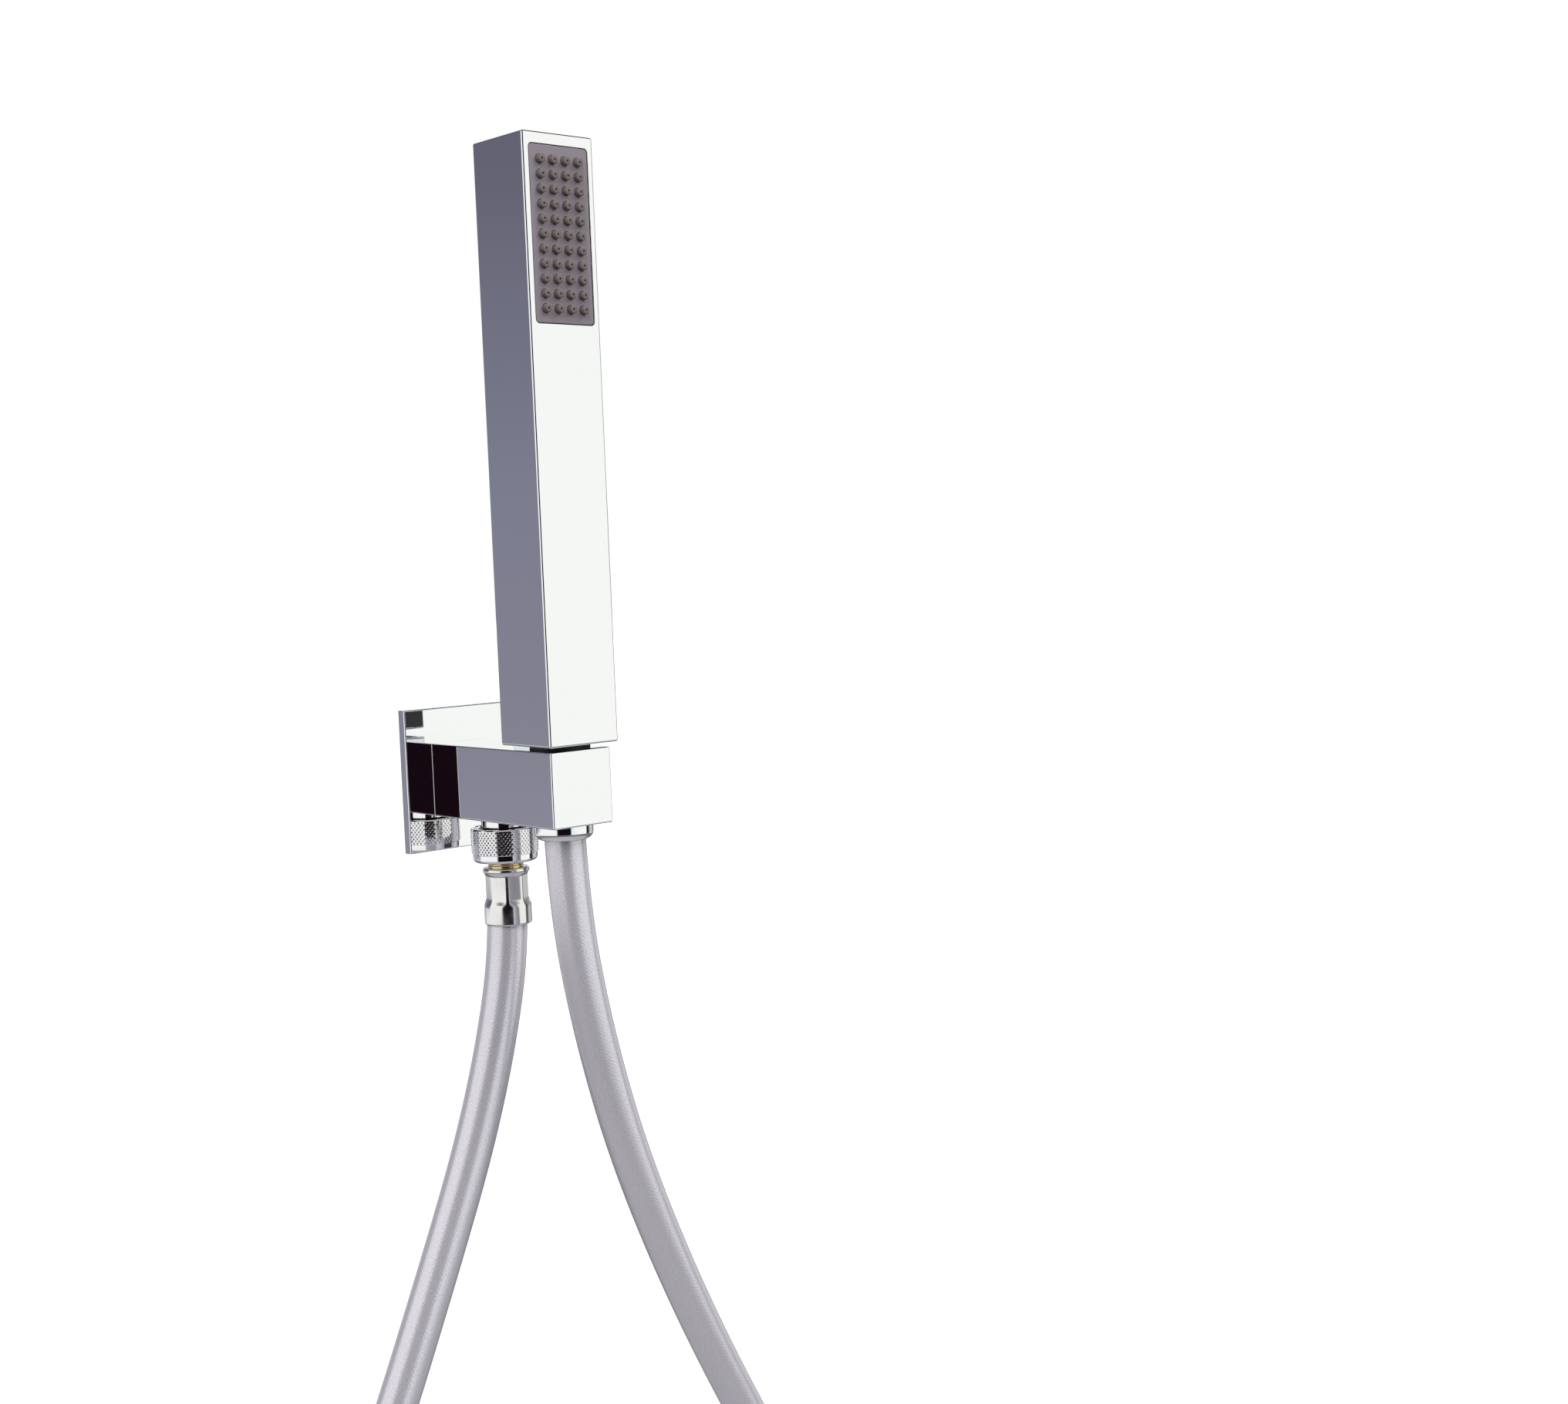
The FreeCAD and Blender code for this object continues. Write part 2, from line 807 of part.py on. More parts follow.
def make_upper_hose_end():
    tail_end = size("upper_ferrule_foot") + "upper_barb_short"
    flange_foot = size("upper_ferrule_top") + "close"
    flange_top = size("cone_step") - "apart"
    ring_low = size("swivel_ring_at") - "swivel_ring_half"
    ring_high = size("swivel_ring_at") + "swivel_ring_half"
    ring_deep = size("swivel") - "swivel_ring_deep"
    clip_foot = size("thread_end") + "apart"
    clip_top = clip_foot + "clip"
    turned(
        "upper_barb",
        [
            ("hose_bore", tail_end),
            (size("barb") - "barb_lead", tail_end),
            ("barb", tail_end + "barb_taper"),
            ("barb", flange_foot),
            ("swivel_flange", flange_foot),
            ("swivel_flange", flange_top),
            ("swivel", flange_top),
            ("swivel", ring_low),
            (ring_deep, ring_low),
            (ring_deep, ring_high),
            ("swivel", ring_high),
            ("swivel", clip_foot),
            ("clip_groove", clip_foot),
            ("clip_groove", clip_top),
            ("swivel", clip_top),
            ("swivel", "swivel_top"),
            ("hose_bore", "swivel_top"),
        ],
        handset_y,
    )
    ring_mid = size("swivel") - "swivel_cord"
    ring("swivel_o_ring", ring_mid, "swivel_cord", handset_y, "swivel_ring_at")

    clip = new_body("swivel_clip", handset_y)
    flat = new_sketch(clip, "XY_Plane", clip_foot)
    circle(flat, "clip_out")
    circle(flat, "clip_in")
    pad(clip, flat, "clip")
    gap = new_sketch(clip, "XY_Plane", clip_foot)
    rectangle(gap, "swivel", "clip_open", "clip_gap_at")
    pocket(clip, gap, "clip")

    top = size("upper_ferrule_top")
    foot = size("upper_ferrule_foot")
    turned(
        "upper_ferrule",
        [
            (size("barb") + "fit", top),
            ("swivel_flange", top),
            ("swivel_flange", foot),
            ("ferrule_in", foot),
            ("ferrule_in", top - "upper_cap"),
            (size("barb") + "fit", top - "upper_cap"),
        ],
        handset_y,
    )


def make_handset_seals():
    """The washer, the strainer and the flow restrictor above the cone's threaded end."""
    turned(
        "upper_washer",
        [
            ("upper_washer_in", "thread_end"),
            ("upper_washer_out", "thread_end"),
            ("upper_washer_out", "socket_top"),
            ("upper_washer_in", "socket_top"),
        ],
        handset_y,
    )
    strainer = new_body("strainer", handset_y)
    disc = new_sketch(strainer, "XY_Plane", size("swivel_top") + "strainer_gap")
    circle(disc, "strainer")
    for distance, count in STRAINER_RINGS:
        add_ring_of_holes(disc, "strainer_hole", distance, count)
    circle(disc, "strainer_hole")
    pad(strainer, disc, "strainer_deep")

    restrictor = new_body("flow_restrictor", handset_y)
    disc = new_sketch(restrictor, "XY_Plane", size("socket_top") + "close")
    circle(disc, "restrictor")
    add_ring_of_holes(disc, "restrictor_hole", SIZES["restrictor_ring"], RESTRICTOR_HOLES)
    pad(restrictor, disc, "restrictor_deep")


def add_ring_of_holes(sketch, radius, distance, count):
    """Equal circles evenly spaced about the sketch's origin."""
    for i in range(count):
        turn = 2 * math.pi * (i + 0.5) / count
        across = round(distance * math.cos(turn), 4)
        circle(sketch, radius, across, round(distance * math.sin(turn), 4))


# Handset: a square tube closed at the top, with a window for the spray face.
def make_handle_shell():
    shell = new_body("handle_shell", handset_y)
    foot = new_sketch(shell, "XY_Plane", "handset_foot")
    rectangle(foot, "side", "side")
    pad(shell, foot, "stick")
    round_edges(shell, "handset_edge", lambda edge: True)
    inside = new_sketch(shell, "XY_Plane", "handset_foot")
    hollow = size("side") - size("wall") * 2
    rectangle(inside, hollow, hollow)
    pocket(shell, inside, size("stick") - size("wall"))
    window = new_sketch(shell, "XZ_Plane", size("side") / 2)
    rectangle(window, "face_wide", "face_high", 0, "face_mid")
    pocket(shell, window, size("wall") + "past", along=False)
    half = SIZES["face_wide"] / 2

    def window_corner(edge):
        at_side = abs(abs(edge.CenterOfMass.x) - half) < NEAR
        return at_side and runs_along(edge, V(0, 1, 0)) and edge.CenterOfMass.y < 0

    round_edges(shell, "face_round", window_corner)


def make_handle_base():
    base = new_body("handle_base", handset_y)
    foot = new_sketch(base, "XY_Plane", "handset_foot")
    plug = size("side") - size("wall") * 2 - "plug_gap"
    rectangle(foot, plug, plug)
    pad(base, foot, size("base_top") - "handset_foot")
    bore = new_sketch(base, "XZ_Plane")
    seal_foot = size("base_top") - "seal_room"
    seal_wide = size("tube_out") + size("tube_seal") * 2
    outline(
        bore,
        [
            (0, size("handset_foot") - "past"),
            ("base_thread", size("handset_foot") - "past"),
            ("base_thread", "socket_top"),
            ("pocket_wide", "socket_top"),
            ("pocket_wide", "pocket_top"),
            ("waterway", "pocket_top"),
            ("waterway", "tube_foot"),
            (size("tube_out") + "fit", "tube_foot"),
            (size("tube_out") + "fit", seal_foot),
            (seal_wide, seal_foot),
            (seal_wide, size("base_top") + "past"),
            (0, size("base_top") + "past"),
        ],
    )
    revolve(base, bore, "Groove")


def make_water_tube():
    turned(
        "water_tube",
        [
            ("tube_in", "tube_foot"),
            ("tube_out", "tube_foot"),
            ("tube_out", "tube_top"),
            ("tube_in", "tube_top"),
        ],
        handset_y,
    )
    middle = size("tube_out") + "tube_seal"
    half_room = size("seal_room") / 2
    ring("lower_tube_seal", middle, "tube_seal", handset_y, size("base_top") - half_room)
    ring("upper_tube_seal", middle, "tube_seal", handset_y, size("boss_foot") + half_room)


# Spray head, front to back: the face plate, the soft nozzle mat with its seal, and the
# chamber that feeds it.
def face_front():
    """How far the spray face stands in front of the handset's axis."""
    return size("side") / 2 - "face_gap"


def nozzle_circles(sketch, radius):
    """One circle for each nozzle of the grid."""
    for column in range(COLUMNS):
        across = size("column_step") * (column - (COLUMNS - 1) / 2)
        for row in range(ROWS):
            up = size("face_mid") + size("row_step") * (row - (ROWS - 1) / 2)
            circle(sketch, radius, across, up)


def make_spray_face():
    face = new_body("spray_face", handset_y)
    panel_wide = size("face_wide") - size("face_gap") * 2
    panel_high = size("face_high") - size("face_gap") * 2
    deep = face_front() - "face_back"
    flange = new_sketch(face, "XZ_Plane", "face_back")
    rectangle(
        flange, panel_wide + "face_flange", panel_high + "face_flange", 0, "face_mid"
    )
    pad(face, flange, "face_flange")
    panel = new_sketch(face, "XZ_Plane", "face_back")
    rectangle(panel, panel_wide, panel_high, 0, "face_mid")
    pad(face, panel, deep)
    half = panel_wide.value / 2

    def panel_corner(edge):
        at_side = abs(abs(edge.CenterOfMass.x) - half) < NEAR
        return at_side and runs_along(edge, V(0, 1, 0))

    round_edges(face, size("face_round") - "face_gap", panel_corner)
    holes = new_sketch(face, "XZ_Plane", "face_back")
    nozzle_circles(holes, size("nozzle") + "close")
    pocket(face, holes, deep + "past")


def make_nozzle_mat():
    mat = new_body("nozzle_mat", handset_y)
    sheet_back = size("face_back") - "mat_deep"
    flat = new_sketch(mat, "XZ_Plane", sheet_back)
    rectangle(flat, "mat_wide", "mat_high", 0, "face_mid")
    pad(mat, flat, "mat_deep")
    stub_back = size("face_back") - "stub_sunk"
    stubs = new_sketch(mat, "XZ_Plane", stub_back)
    nozzle_circles(stubs, "nozzle")
    reach = face_front() + "nozzle_out"
    pad(mat, stubs, reach - stub_back, taper=NOZZLE_TAPER)
    jets = new_sketch(mat, "XZ_Plane", sheet_back)
    nozzle_circles(jets, "nozzle_jet")
    pocket(mat, jets, reach - sheet_back + "past")


def make_face_seal():
    seal = new_body("face_seal", handset_y)
    band = new_sketch(seal, "XZ_Plane", size("face_back") - "mat_deep")
    rectangle(band, "face_seal_wide", "face_seal_high", 0, "face_mid")
    inner_wide = size("mat_wide") + "mat_room"
    inner_high = size("mat_high") + "mat_room"
    rectangle(band, inner_wide, inner_high, 0, "face_mid")
    pad(seal, band, "mat_deep")


def make_water_chamber():
    chamber = new_body("water_chamber", handset_y)
    front = size("face_back") - "mat_deep"
    box = new_sketch(chamber, "XZ_Plane", "chamber_back")
    box_wide = size("side") - size("wall") * 2 - "chamber_gap"
    rectangle(box, box_wide, "chamber_high", 0, "face_mid")
    pad(chamber, box, front - "chamber_back")
    boss = new_sketch(chamber, "XY_Plane", "boss_foot")
    circle(boss, "boss")
    box_foot = size("face_mid") - size("chamber_high") / 2
    pad(chamber, boss, box_foot - "boss_foot" + "boss_sunk")
    inside = new_sketch(chamber, "XZ_Plane", front)
    inner_wide = size("mat_wide") + "mat_room"
    inner_high = size("mat_high") + "mat_room"
    rectangle(inside, inner_wide, inner_high, 0, "face_mid")
    pocket(chamber, inside, front - "chamber_back" - "chamber_floor", along=False)
    bore = new_sketch(chamber, "XY_Plane", "boss_foot")
    circle(bore, size("tube_out") + "fit")
    pocket(chamber, bore, size("face_mid") - size("mat_high") / 2 - "boss_foot")
    seat = new_sketch(chamber, "XY_Plane", "boss_foot")
    circle(seat, size("tube_out") + size("tube_seal") * 2)
    pocket(chamber, seat, "seal_room")


# Hose: each half is straight runs joined by tangent arcs.  The halves meet face to face
# at the bottom of the loop.  Points are (x, y, z), in order along the hose.
WALL_HALF = [
    (0, -30, -33.6),
    (0, -30, -58),
    (-6.5, -30, -92),
    (-19.1, -30, -132),
    (-37.9, -30, -176),
    (-63.3, -30, -232),
    (-100, -30, -306),
    (-134, -30, -386),
    (-151, -31, -462),
    (-142, -33, -530),
    (-108, -36.5, -586),
    (-50, -43, -616),
    (1, -49.25, -616),
]
HANDSET_HALF = [
    (0, -67.6, 3.2),
    (0, -67.6, -38),
    (9.0, -67.6, -92),
    (25.9, -67.6, -150),
    (58.2, -67.6, -224),
    (103, -67.6, -306),
    (143, -67.6, -388),
    (162, -66.5, -466),
    (150, -64.5, -534),
    (112, -61, -588),
    (52, -55.5, -616),
    (1, -49.25, -616),
]


def make_hose_half(label, points):
    """One half of the hose, a plain tube whose first end is inside a ferrule."""
    path, radii = rounded_path(points)
    start = V(*points[0])
    along = V(*points[1]) - start
    tubes = []
    for radius in (SIZES["hose_out"], SIZES["hose_in"]):
        section = Part.Wire([Part.makeCircle(radius, start, along)])
        tubes.append(path.makePipeShell([section], True, True))
    hose = named(doc.addObject("Part::Feature", label), label)
    hose.Shape = tubes[0].cut(tubes[1])
    hose.Placement = FreeCAD.Placement()
    expected = math.pi * (SIZES["hose_out"] ** 2 - SIZES["hose_in"] ** 2) * path.Length
    print(f"{label}: length {path.Length:.1f} mm, smallest radius {min(radii):.0f} mm")
    print(f"  radii {[round(radius) for radius in radii]}")
    print(f"  volume {hose.Shape.Volume:.0f} mm3, section x length {expected:.0f} mm3")


make_wall_plate()
make_plate_seal()
make_bracket_body()
make_inlet()
make_outlet()
make_valve()
make_hose_cone()
make_upper_hose_end()
make_handset_seals()
make_handle_shell()
make_handle_base()
make_water_tube()
make_spray_face()
make_nozzle_mat()
make_face_seal()
make_water_chamber()
make_hose_half("hose_wall_half", WALL_HALF)
make_hose_half("hose_handset_half", HANDSET_HALF)

doc.recompute()
for item in doc.Objects:
    if "Invalid" in item.State or "Error" in item.State:
        raise ValueError(f"{item.Name} has failed: {item.State}")
for item in subparts:
    if item.Shape.isNull() or not item.Shape.isValid():
        raise ValueError(f"{item.Label} has no valid shape")

os.makedirs("parts", exist_ok=True)
for item in subparts:
    item.Shape.exportStep(f"parts/{item.Label}.step")
    box = item.Shape.BoundBox
    solids = len(item.Shape.Solids)
    print(
        f"{item.Label}: {solids} solid(s), {item.Shape.Volume:.1f} mm3, "
        f"x {box.XMin:.1f}..{box.XMax:.1f} y {box.YMin:.1f}..{box.YMax:.1f} "
        f"z {box.ZMin:.1f}..{box.ZMax:.1f}"
    )
print(f"{len(subparts)} sub-parts")
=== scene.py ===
# %% [markdown]
# A shower set on a wall bracket.  A square chrome stick stands in a holder that is also the
# wall outlet, and a hose hangs in a loop from one to the other.  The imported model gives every
# part its place, and this lesson builds what is seen around it.

# %% Load the frame
import math

import bmesh
import bpy
from mathutils import Matrix, Vector


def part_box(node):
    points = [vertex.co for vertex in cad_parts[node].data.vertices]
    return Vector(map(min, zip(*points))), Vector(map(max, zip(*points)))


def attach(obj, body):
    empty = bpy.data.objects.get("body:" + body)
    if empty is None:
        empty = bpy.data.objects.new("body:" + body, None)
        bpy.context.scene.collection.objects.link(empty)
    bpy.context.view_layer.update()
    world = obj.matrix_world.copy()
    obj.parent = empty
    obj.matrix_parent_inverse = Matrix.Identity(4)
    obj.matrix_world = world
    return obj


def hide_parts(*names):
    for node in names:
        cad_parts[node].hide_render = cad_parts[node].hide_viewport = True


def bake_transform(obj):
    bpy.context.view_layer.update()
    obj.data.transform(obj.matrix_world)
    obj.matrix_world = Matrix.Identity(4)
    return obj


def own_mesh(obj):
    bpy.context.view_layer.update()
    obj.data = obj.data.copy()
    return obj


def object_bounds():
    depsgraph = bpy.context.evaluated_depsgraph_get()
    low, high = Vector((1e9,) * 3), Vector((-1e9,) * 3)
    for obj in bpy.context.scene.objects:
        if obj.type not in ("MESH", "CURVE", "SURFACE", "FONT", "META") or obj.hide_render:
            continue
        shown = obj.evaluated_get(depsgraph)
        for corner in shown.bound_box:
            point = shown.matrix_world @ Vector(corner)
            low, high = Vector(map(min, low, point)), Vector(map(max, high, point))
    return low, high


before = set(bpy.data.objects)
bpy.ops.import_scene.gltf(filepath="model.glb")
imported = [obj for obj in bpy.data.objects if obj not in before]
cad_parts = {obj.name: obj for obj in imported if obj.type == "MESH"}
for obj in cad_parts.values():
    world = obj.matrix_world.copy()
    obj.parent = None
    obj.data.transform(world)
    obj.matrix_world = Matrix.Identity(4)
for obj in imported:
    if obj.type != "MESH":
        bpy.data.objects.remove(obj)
cad_low, cad_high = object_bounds()
MM = 0.001

# %% [markdown]
# The camera comes first, because every later choice is judged through it.  It stands to the
# left of the set and a little above the bracket, and is turned slightly about its own axis.
# A direction is easier to think about as an azimuth and an elevation than as Euler angles,
# so the camera's three axes are worked out from those.

# %% Camera
CAMERA_AZIMUTH = math.radians(-42.19)
CAMERA_ELEVATION = math.radians(4.22)
CAMERA_ROLL = math.radians(-2.21)


def camera_turn():
    """The camera's axes, right, up and back, as a rotation matrix."""
    across = Vector((math.cos(CAMERA_AZIMUTH), math.sin(CAMERA_AZIMUTH), 0))
    back = Vector((math.sin(CAMERA_AZIMUTH), -math.cos(CAMERA_AZIMUTH), 0))
    back = back * math.cos(CAMERA_ELEVATION) + Vector((0, 0, math.sin(CAMERA_ELEVATION)))
    above = back.cross(across)
    right = across * math.cos(CAMERA_ROLL) + above * math.sin(CAMERA_ROLL)
    up = above * math.cos(CAMERA_ROLL) - across * math.sin(CAMERA_ROLL)
    return Matrix((right, up, back)).transposed()


bpy.ops.object.camera_add(
    location=(-0.4431, -0.6768, 0.0824), rotation=camera_turn().to_euler()
)
camera = bpy.context.object
camera.name = "camera"
camera.data.lens = 48.167
camera.data.sensor_width = 36
camera.data.clip_start = 0.01
bpy.context.scene.camera = camera
bpy.context.scene.view_settings.view_transform = "Standard"
print("camera looks along", [round(v, 3) for v in camera_turn() @ Vector((0, 0, -1))])

# %% [markdown]
# Every operator acts on what is selected, so these helpers start from an empty selection.
# In edit mode the faces, edges or vertices are picked by a test on their place.

# %% Picking by place
def start_clean():
    """Object mode with nothing selected."""
    if bpy.context.object and bpy.context.object.mode != "OBJECT":
        bpy.ops.object.mode_set(mode="OBJECT")
    bpy.ops.object.select_all(action="DESELECT")


def only(piece):
    """Selects one object and makes it active."""
    start_clean()
    piece.select_set(True)
    bpy.context.view_layer.objects.active = piece


def edit(piece, kind="FACE"):
    """Edit mode on one object, with nothing in it selected."""
    only(piece)
    bpy.ops.object.mode_set(mode="EDIT")
    bpy.ops.mesh.select_mode(type=kind)
    bpy.ops.mesh.select_all(action="DESELECT")


def pick(piece, wanted, kind="FACE"):
    """Selects the mesh elements whose middle passes the test, and counts them."""
    mesh = bmesh.from_edit_mesh(piece.data)
    count = 0
    for element in {"FACE": mesh.faces, "EDGE": mesh.edges, "VERT": mesh.verts}[kind]:
        element.select = bool(wanted(element))
        count += element.select
    if kind == "VERT":
        mesh.select_flush_mode()
    bmesh.update_edit_mesh(piece.data)
    return count


def middle(element):
    """The middle of a face or an edge."""
    if isinstance(element, bmesh.types.BMFace):
        return element.calc_center_median()
    return (element.verts[0].co + element.verts[1].co) / 2


def runs(edge, axis):
    """Whether an edge is parallel to axis 0, 1 or 2."""
    along = edge.verts[1].co - edge.verts[0].co
    return abs(along[axis]) > 0.9 * along.length


def named(name):
    """Names the new object and its mesh, and puts its place into the mesh."""
    piece = bpy.context.object
    piece.name = name
    piece.data.name = name
    bpy.ops.object.transform_apply(location=True, rotation=True, scale=True)
    return piece


# %% [markdown]
# The hose is one real length of smooth plastic tube, about one and a half metres, and it is
# the largest shape here.  It leaves the ferrule under the bracket, hangs in one loose loop,
# and comes up into the cone under the stick.  Its route is a smooth NURBS curve, because a
# hose under its own weight has no corners.  The tube then follows points read from that
# curve, which gives it a UV map that runs around and along it for the woven pattern.

# %% Hose route
WALL_RUN = [
    (0, -30, -33.6), (0, -30, -58), (-6.5, -30, -92), (-19.1, -30, -132),
    (-37.9, -30, -176), (-63.3, -30, -232), (-100, -30, -306), (-134, -30, -386),
    (-151, -31, -462), (-142, -33, -530), (-108, -36.5, -586), (-50, -43, -616),
]
HANDSET_RUN = [
    (52, -55.5, -616), (112, -61, -588), (150, -64.5, -534), (162, -66.5, -466),
    (143, -67.6, -388), (103, -67.6, -306), (58.2, -67.6, -224), (25.9, -67.6, -150),
    (9.0, -67.6, -92), (0, -67.6, -38), (0, -67.6, 3.2),
]
HOSE_RADIUS = 7.5 * MM


def route_curve(name, points):
    """A NURBS curve with the given control points in millimetres."""
    line = bpy.data.curves.new(name, "CURVE")
    line.dimensions = "3D"
    line.resolution_u = 24
    spline = line.splines.new("NURBS")
    spline.points.add(len(points) - 1)
    for point, place in zip(spline.points, points):
        point.co = (*(Vector(place) * MM), 1)
    spline.order_u = 3
    spline.use_endpoint_u = True
    thing = bpy.data.objects.new(name, line)
    bpy.context.scene.collection.objects.link(thing)
    return thing


def read_route(thing):
    """Points along the curve, as Blender evaluates it."""
    bpy.context.view_layer.update()
    mesh = bpy.data.meshes.new_from_object(thing)
    places = [vertex.co.copy() for vertex in mesh.vertices]
    bpy.data.meshes.remove(mesh)
    return places


route = route_curve("hose_route", WALL_RUN + HANDSET_RUN)
hose_path = read_route(route)
bpy.data.objects.remove(route)
hose_long = sum((b - a).length for a, b in zip(hose_path, hose_path[1:]))
print(f"hose: {len(hose_path)} points, {hose_long:.3f} m along the curve")

# %% [markdown]
# The tube is a ring of points carried along the route.  Each ring is turned by the smallest
# turn that follows the route, so the woven pattern doesn't twist.  The UV map counts once
# around in u, and in v the way along by the same measure, so the pattern isn't stretched.
# The crimped ferrules squeeze the last two centimetres of the tube, so it is narrower there.

# %% Rings of the hose
AROUND = 40
SQUEEZED = 0.92
GRIPPED, FREE = 8 * MM, 22 * MM


def squeeze(from_end):
    """The share of its radius that the tube keeps at a distance from its nearer end."""
    share = min(max((from_end - GRIPPED) / (FREE - GRIPPED), 0), 1)
    return SQUEEZED + (1 - SQUEEZED) * share * share * (3 - 2 * share)


def hose_rings(places, radius):
    """The tube's rings of points, each with its way along in lengths of once around."""
    heading = (places[1] - places[0]).normalized()
    side = heading.orthogonal().normalized()
    turns = [2 * math.pi * k / AROUND for k in range(AROUND)]
    rings = []
    gone = 0.0
    for i, place in enumerate(places):
        ahead = places[min(i + 1, len(places) - 1)] - places[max(i - 1, 0)]
        side = heading.rotation_difference(ahead.normalized()) @ side
        heading = ahead.normalized()
        other = heading.cross(side)
        if i:
            gone += (place - places[i - 1]).length
        reach = radius * squeeze(min(gone, hose_long - gone))
        ring = [place + (side * math.cos(t) + other * math.sin(t)) * reach for t in turns]
        rings.append((ring, gone / (2 * math.pi * radius)))
    return rings


rings = hose_rings(hose_path, HOSE_RADIUS)
print("rings", len(rings))

# %% [markdown]
# The hose is made in two lengths that meet at the bottom of the loop, because its two ends
# belong to parts that move apart when the stick is lifted.  Both are cut from the same
# rings, so the weave and the gloss run on across the join.

# %% Hose tube
def hose_length(name, rings):
    """A closed tube through the rings, with a UV map around and along it."""
    mesh = bmesh.new()
    around = mesh.loops.layers.uv.new("along")
    made = [([mesh.verts.new(point) for point in ring], v) for ring, v in rings]
    for (ring, low), (later, high) in zip(made, made[1:]):
        for k in range(AROUND):
            n = (k + 1) % AROUND
            face = mesh.faces.new((ring[k], ring[n], later[n], later[k]))
            face.smooth = True
            corners = ((k, low), (k + 1, low), (k + 1, high), (k, high))
            for loop, (step, v) in zip(face.loops, corners):
                loop[around].uv = (step / AROUND, v)
    for end in (list(reversed(made[0][0])), made[-1][0]):
        for edge in mesh.faces.new(end).edges:
            edge.smooth = False
    data = bpy.data.meshes.new(name)
    mesh.to_mesh(data)
    mesh.free()
    thing = bpy.data.objects.new(name, data)
    bpy.context.scene.collection.objects.link(thing)
    return thing


JOIN = Vector((1, -49.25, -616)) * MM  # the bottom of the loop
join = min(range(len(hose_path)), key=lambda i: (hose_path[i] - JOIN).length)
wall_hose = hose_length("hose_wall_length", rings[: join + 1])
stick_hose = hose_length("hose_stick_length", rings[join:])
print("the two lengths meet at", [round(v, 4) for v in hose_path[join]])

# %% [markdown]
# Polished chrome has no colour of its own, so it is lit by shapes.  The studio is painted on
# the world as tall cards: white ones to both sides, a grey-blue one behind on the left, and
# darkness near the camera and above.  Softer grey cards behind, overhead and below keep the
# back and the top from going black.  The cards stand still while any camera moves, and to
# the camera itself the backdrop is plain white.  All angles here are in degrees: around
# from the camera's side, and up from level.

# %% Studio
ROUND_STOPS = [
    (-180, (0.05, 0.05, 0.055)),
    (-166, (0.05, 0.05, 0.055)),
    (-158, (0.45, 0.46, 0.50)),
    (-140, (0.68, 0.69, 0.74)),
    (-128, (0.50, 0.50, 0.56)),
    (-124, (0.93, 0.94, 0.92)),
    (-24, (0.93, 0.93, 0.94)),
    (-18, (0.008, 0.003, 0.006)),
    (32, (0.008, 0.003, 0.006)),
    (37, (0.78, 0.86, 0.94)),
    (60, (0.93, 0.96, 0.93)),
    (102, (0.96, 0.97, 0.94)),
    (106, (0.03, 0.02, 0.03)),
    (118, (0.03, 0.02, 0.03)),
    (124, (0.50, 0.50, 0.54)),
    (140, (0.70, 0.71, 0.75)),
    (156, (0.45, 0.45, 0.49)),
    (166, (0.05, 0.05, 0.055)),
    (180, (0.05, 0.05, 0.055)),
]
GREY_CARD = [
    (-8, (0.262, 0.257, 0.320)),
    (-4, (0.232, 0.228, 0.292)),
    (2, (0.205, 0.212, 0.280)),
    (10, (0.132, 0.132, 0.180)),
    (20, (0.100, 0.100, 0.140)),
]
BACK_SHADE = [(-14, (1, 1, 1)), (0, (0.62, 0.62, 0.62)), (16, (0.36, 0.35, 0.37))]
RAMP_REACH = 40
BACK_STARTS = (118, 124)
FAR_STARTS, FAR_LIFT, FAR_COLOUR = (148, 156), (0.5, 2.5), (0.70, 0.78, 0.82, 1)
GREY_LEFT, GREY_RIGHT, GREY_FOOT = (-130, -127), (-93, -91), (-8.3, -8.0)
LAYERS = [  # up (1) or down (-1), where it starts and is full, and its colour
    (1, 34, 46, (0.055, 0.040, 0.055, 1)),
    (1, 50, 62, (0.20, 0.195, 0.21, 1)),
    (-1, 13, 20, (0.17, 0.165, 0.18, 1)),
    (-1, 30, 44, (0.42, 0.42, 0.44, 1)),
]
world = bpy.data.worlds.new("studio")
bpy.context.scene.world = world
world.use_nodes = True


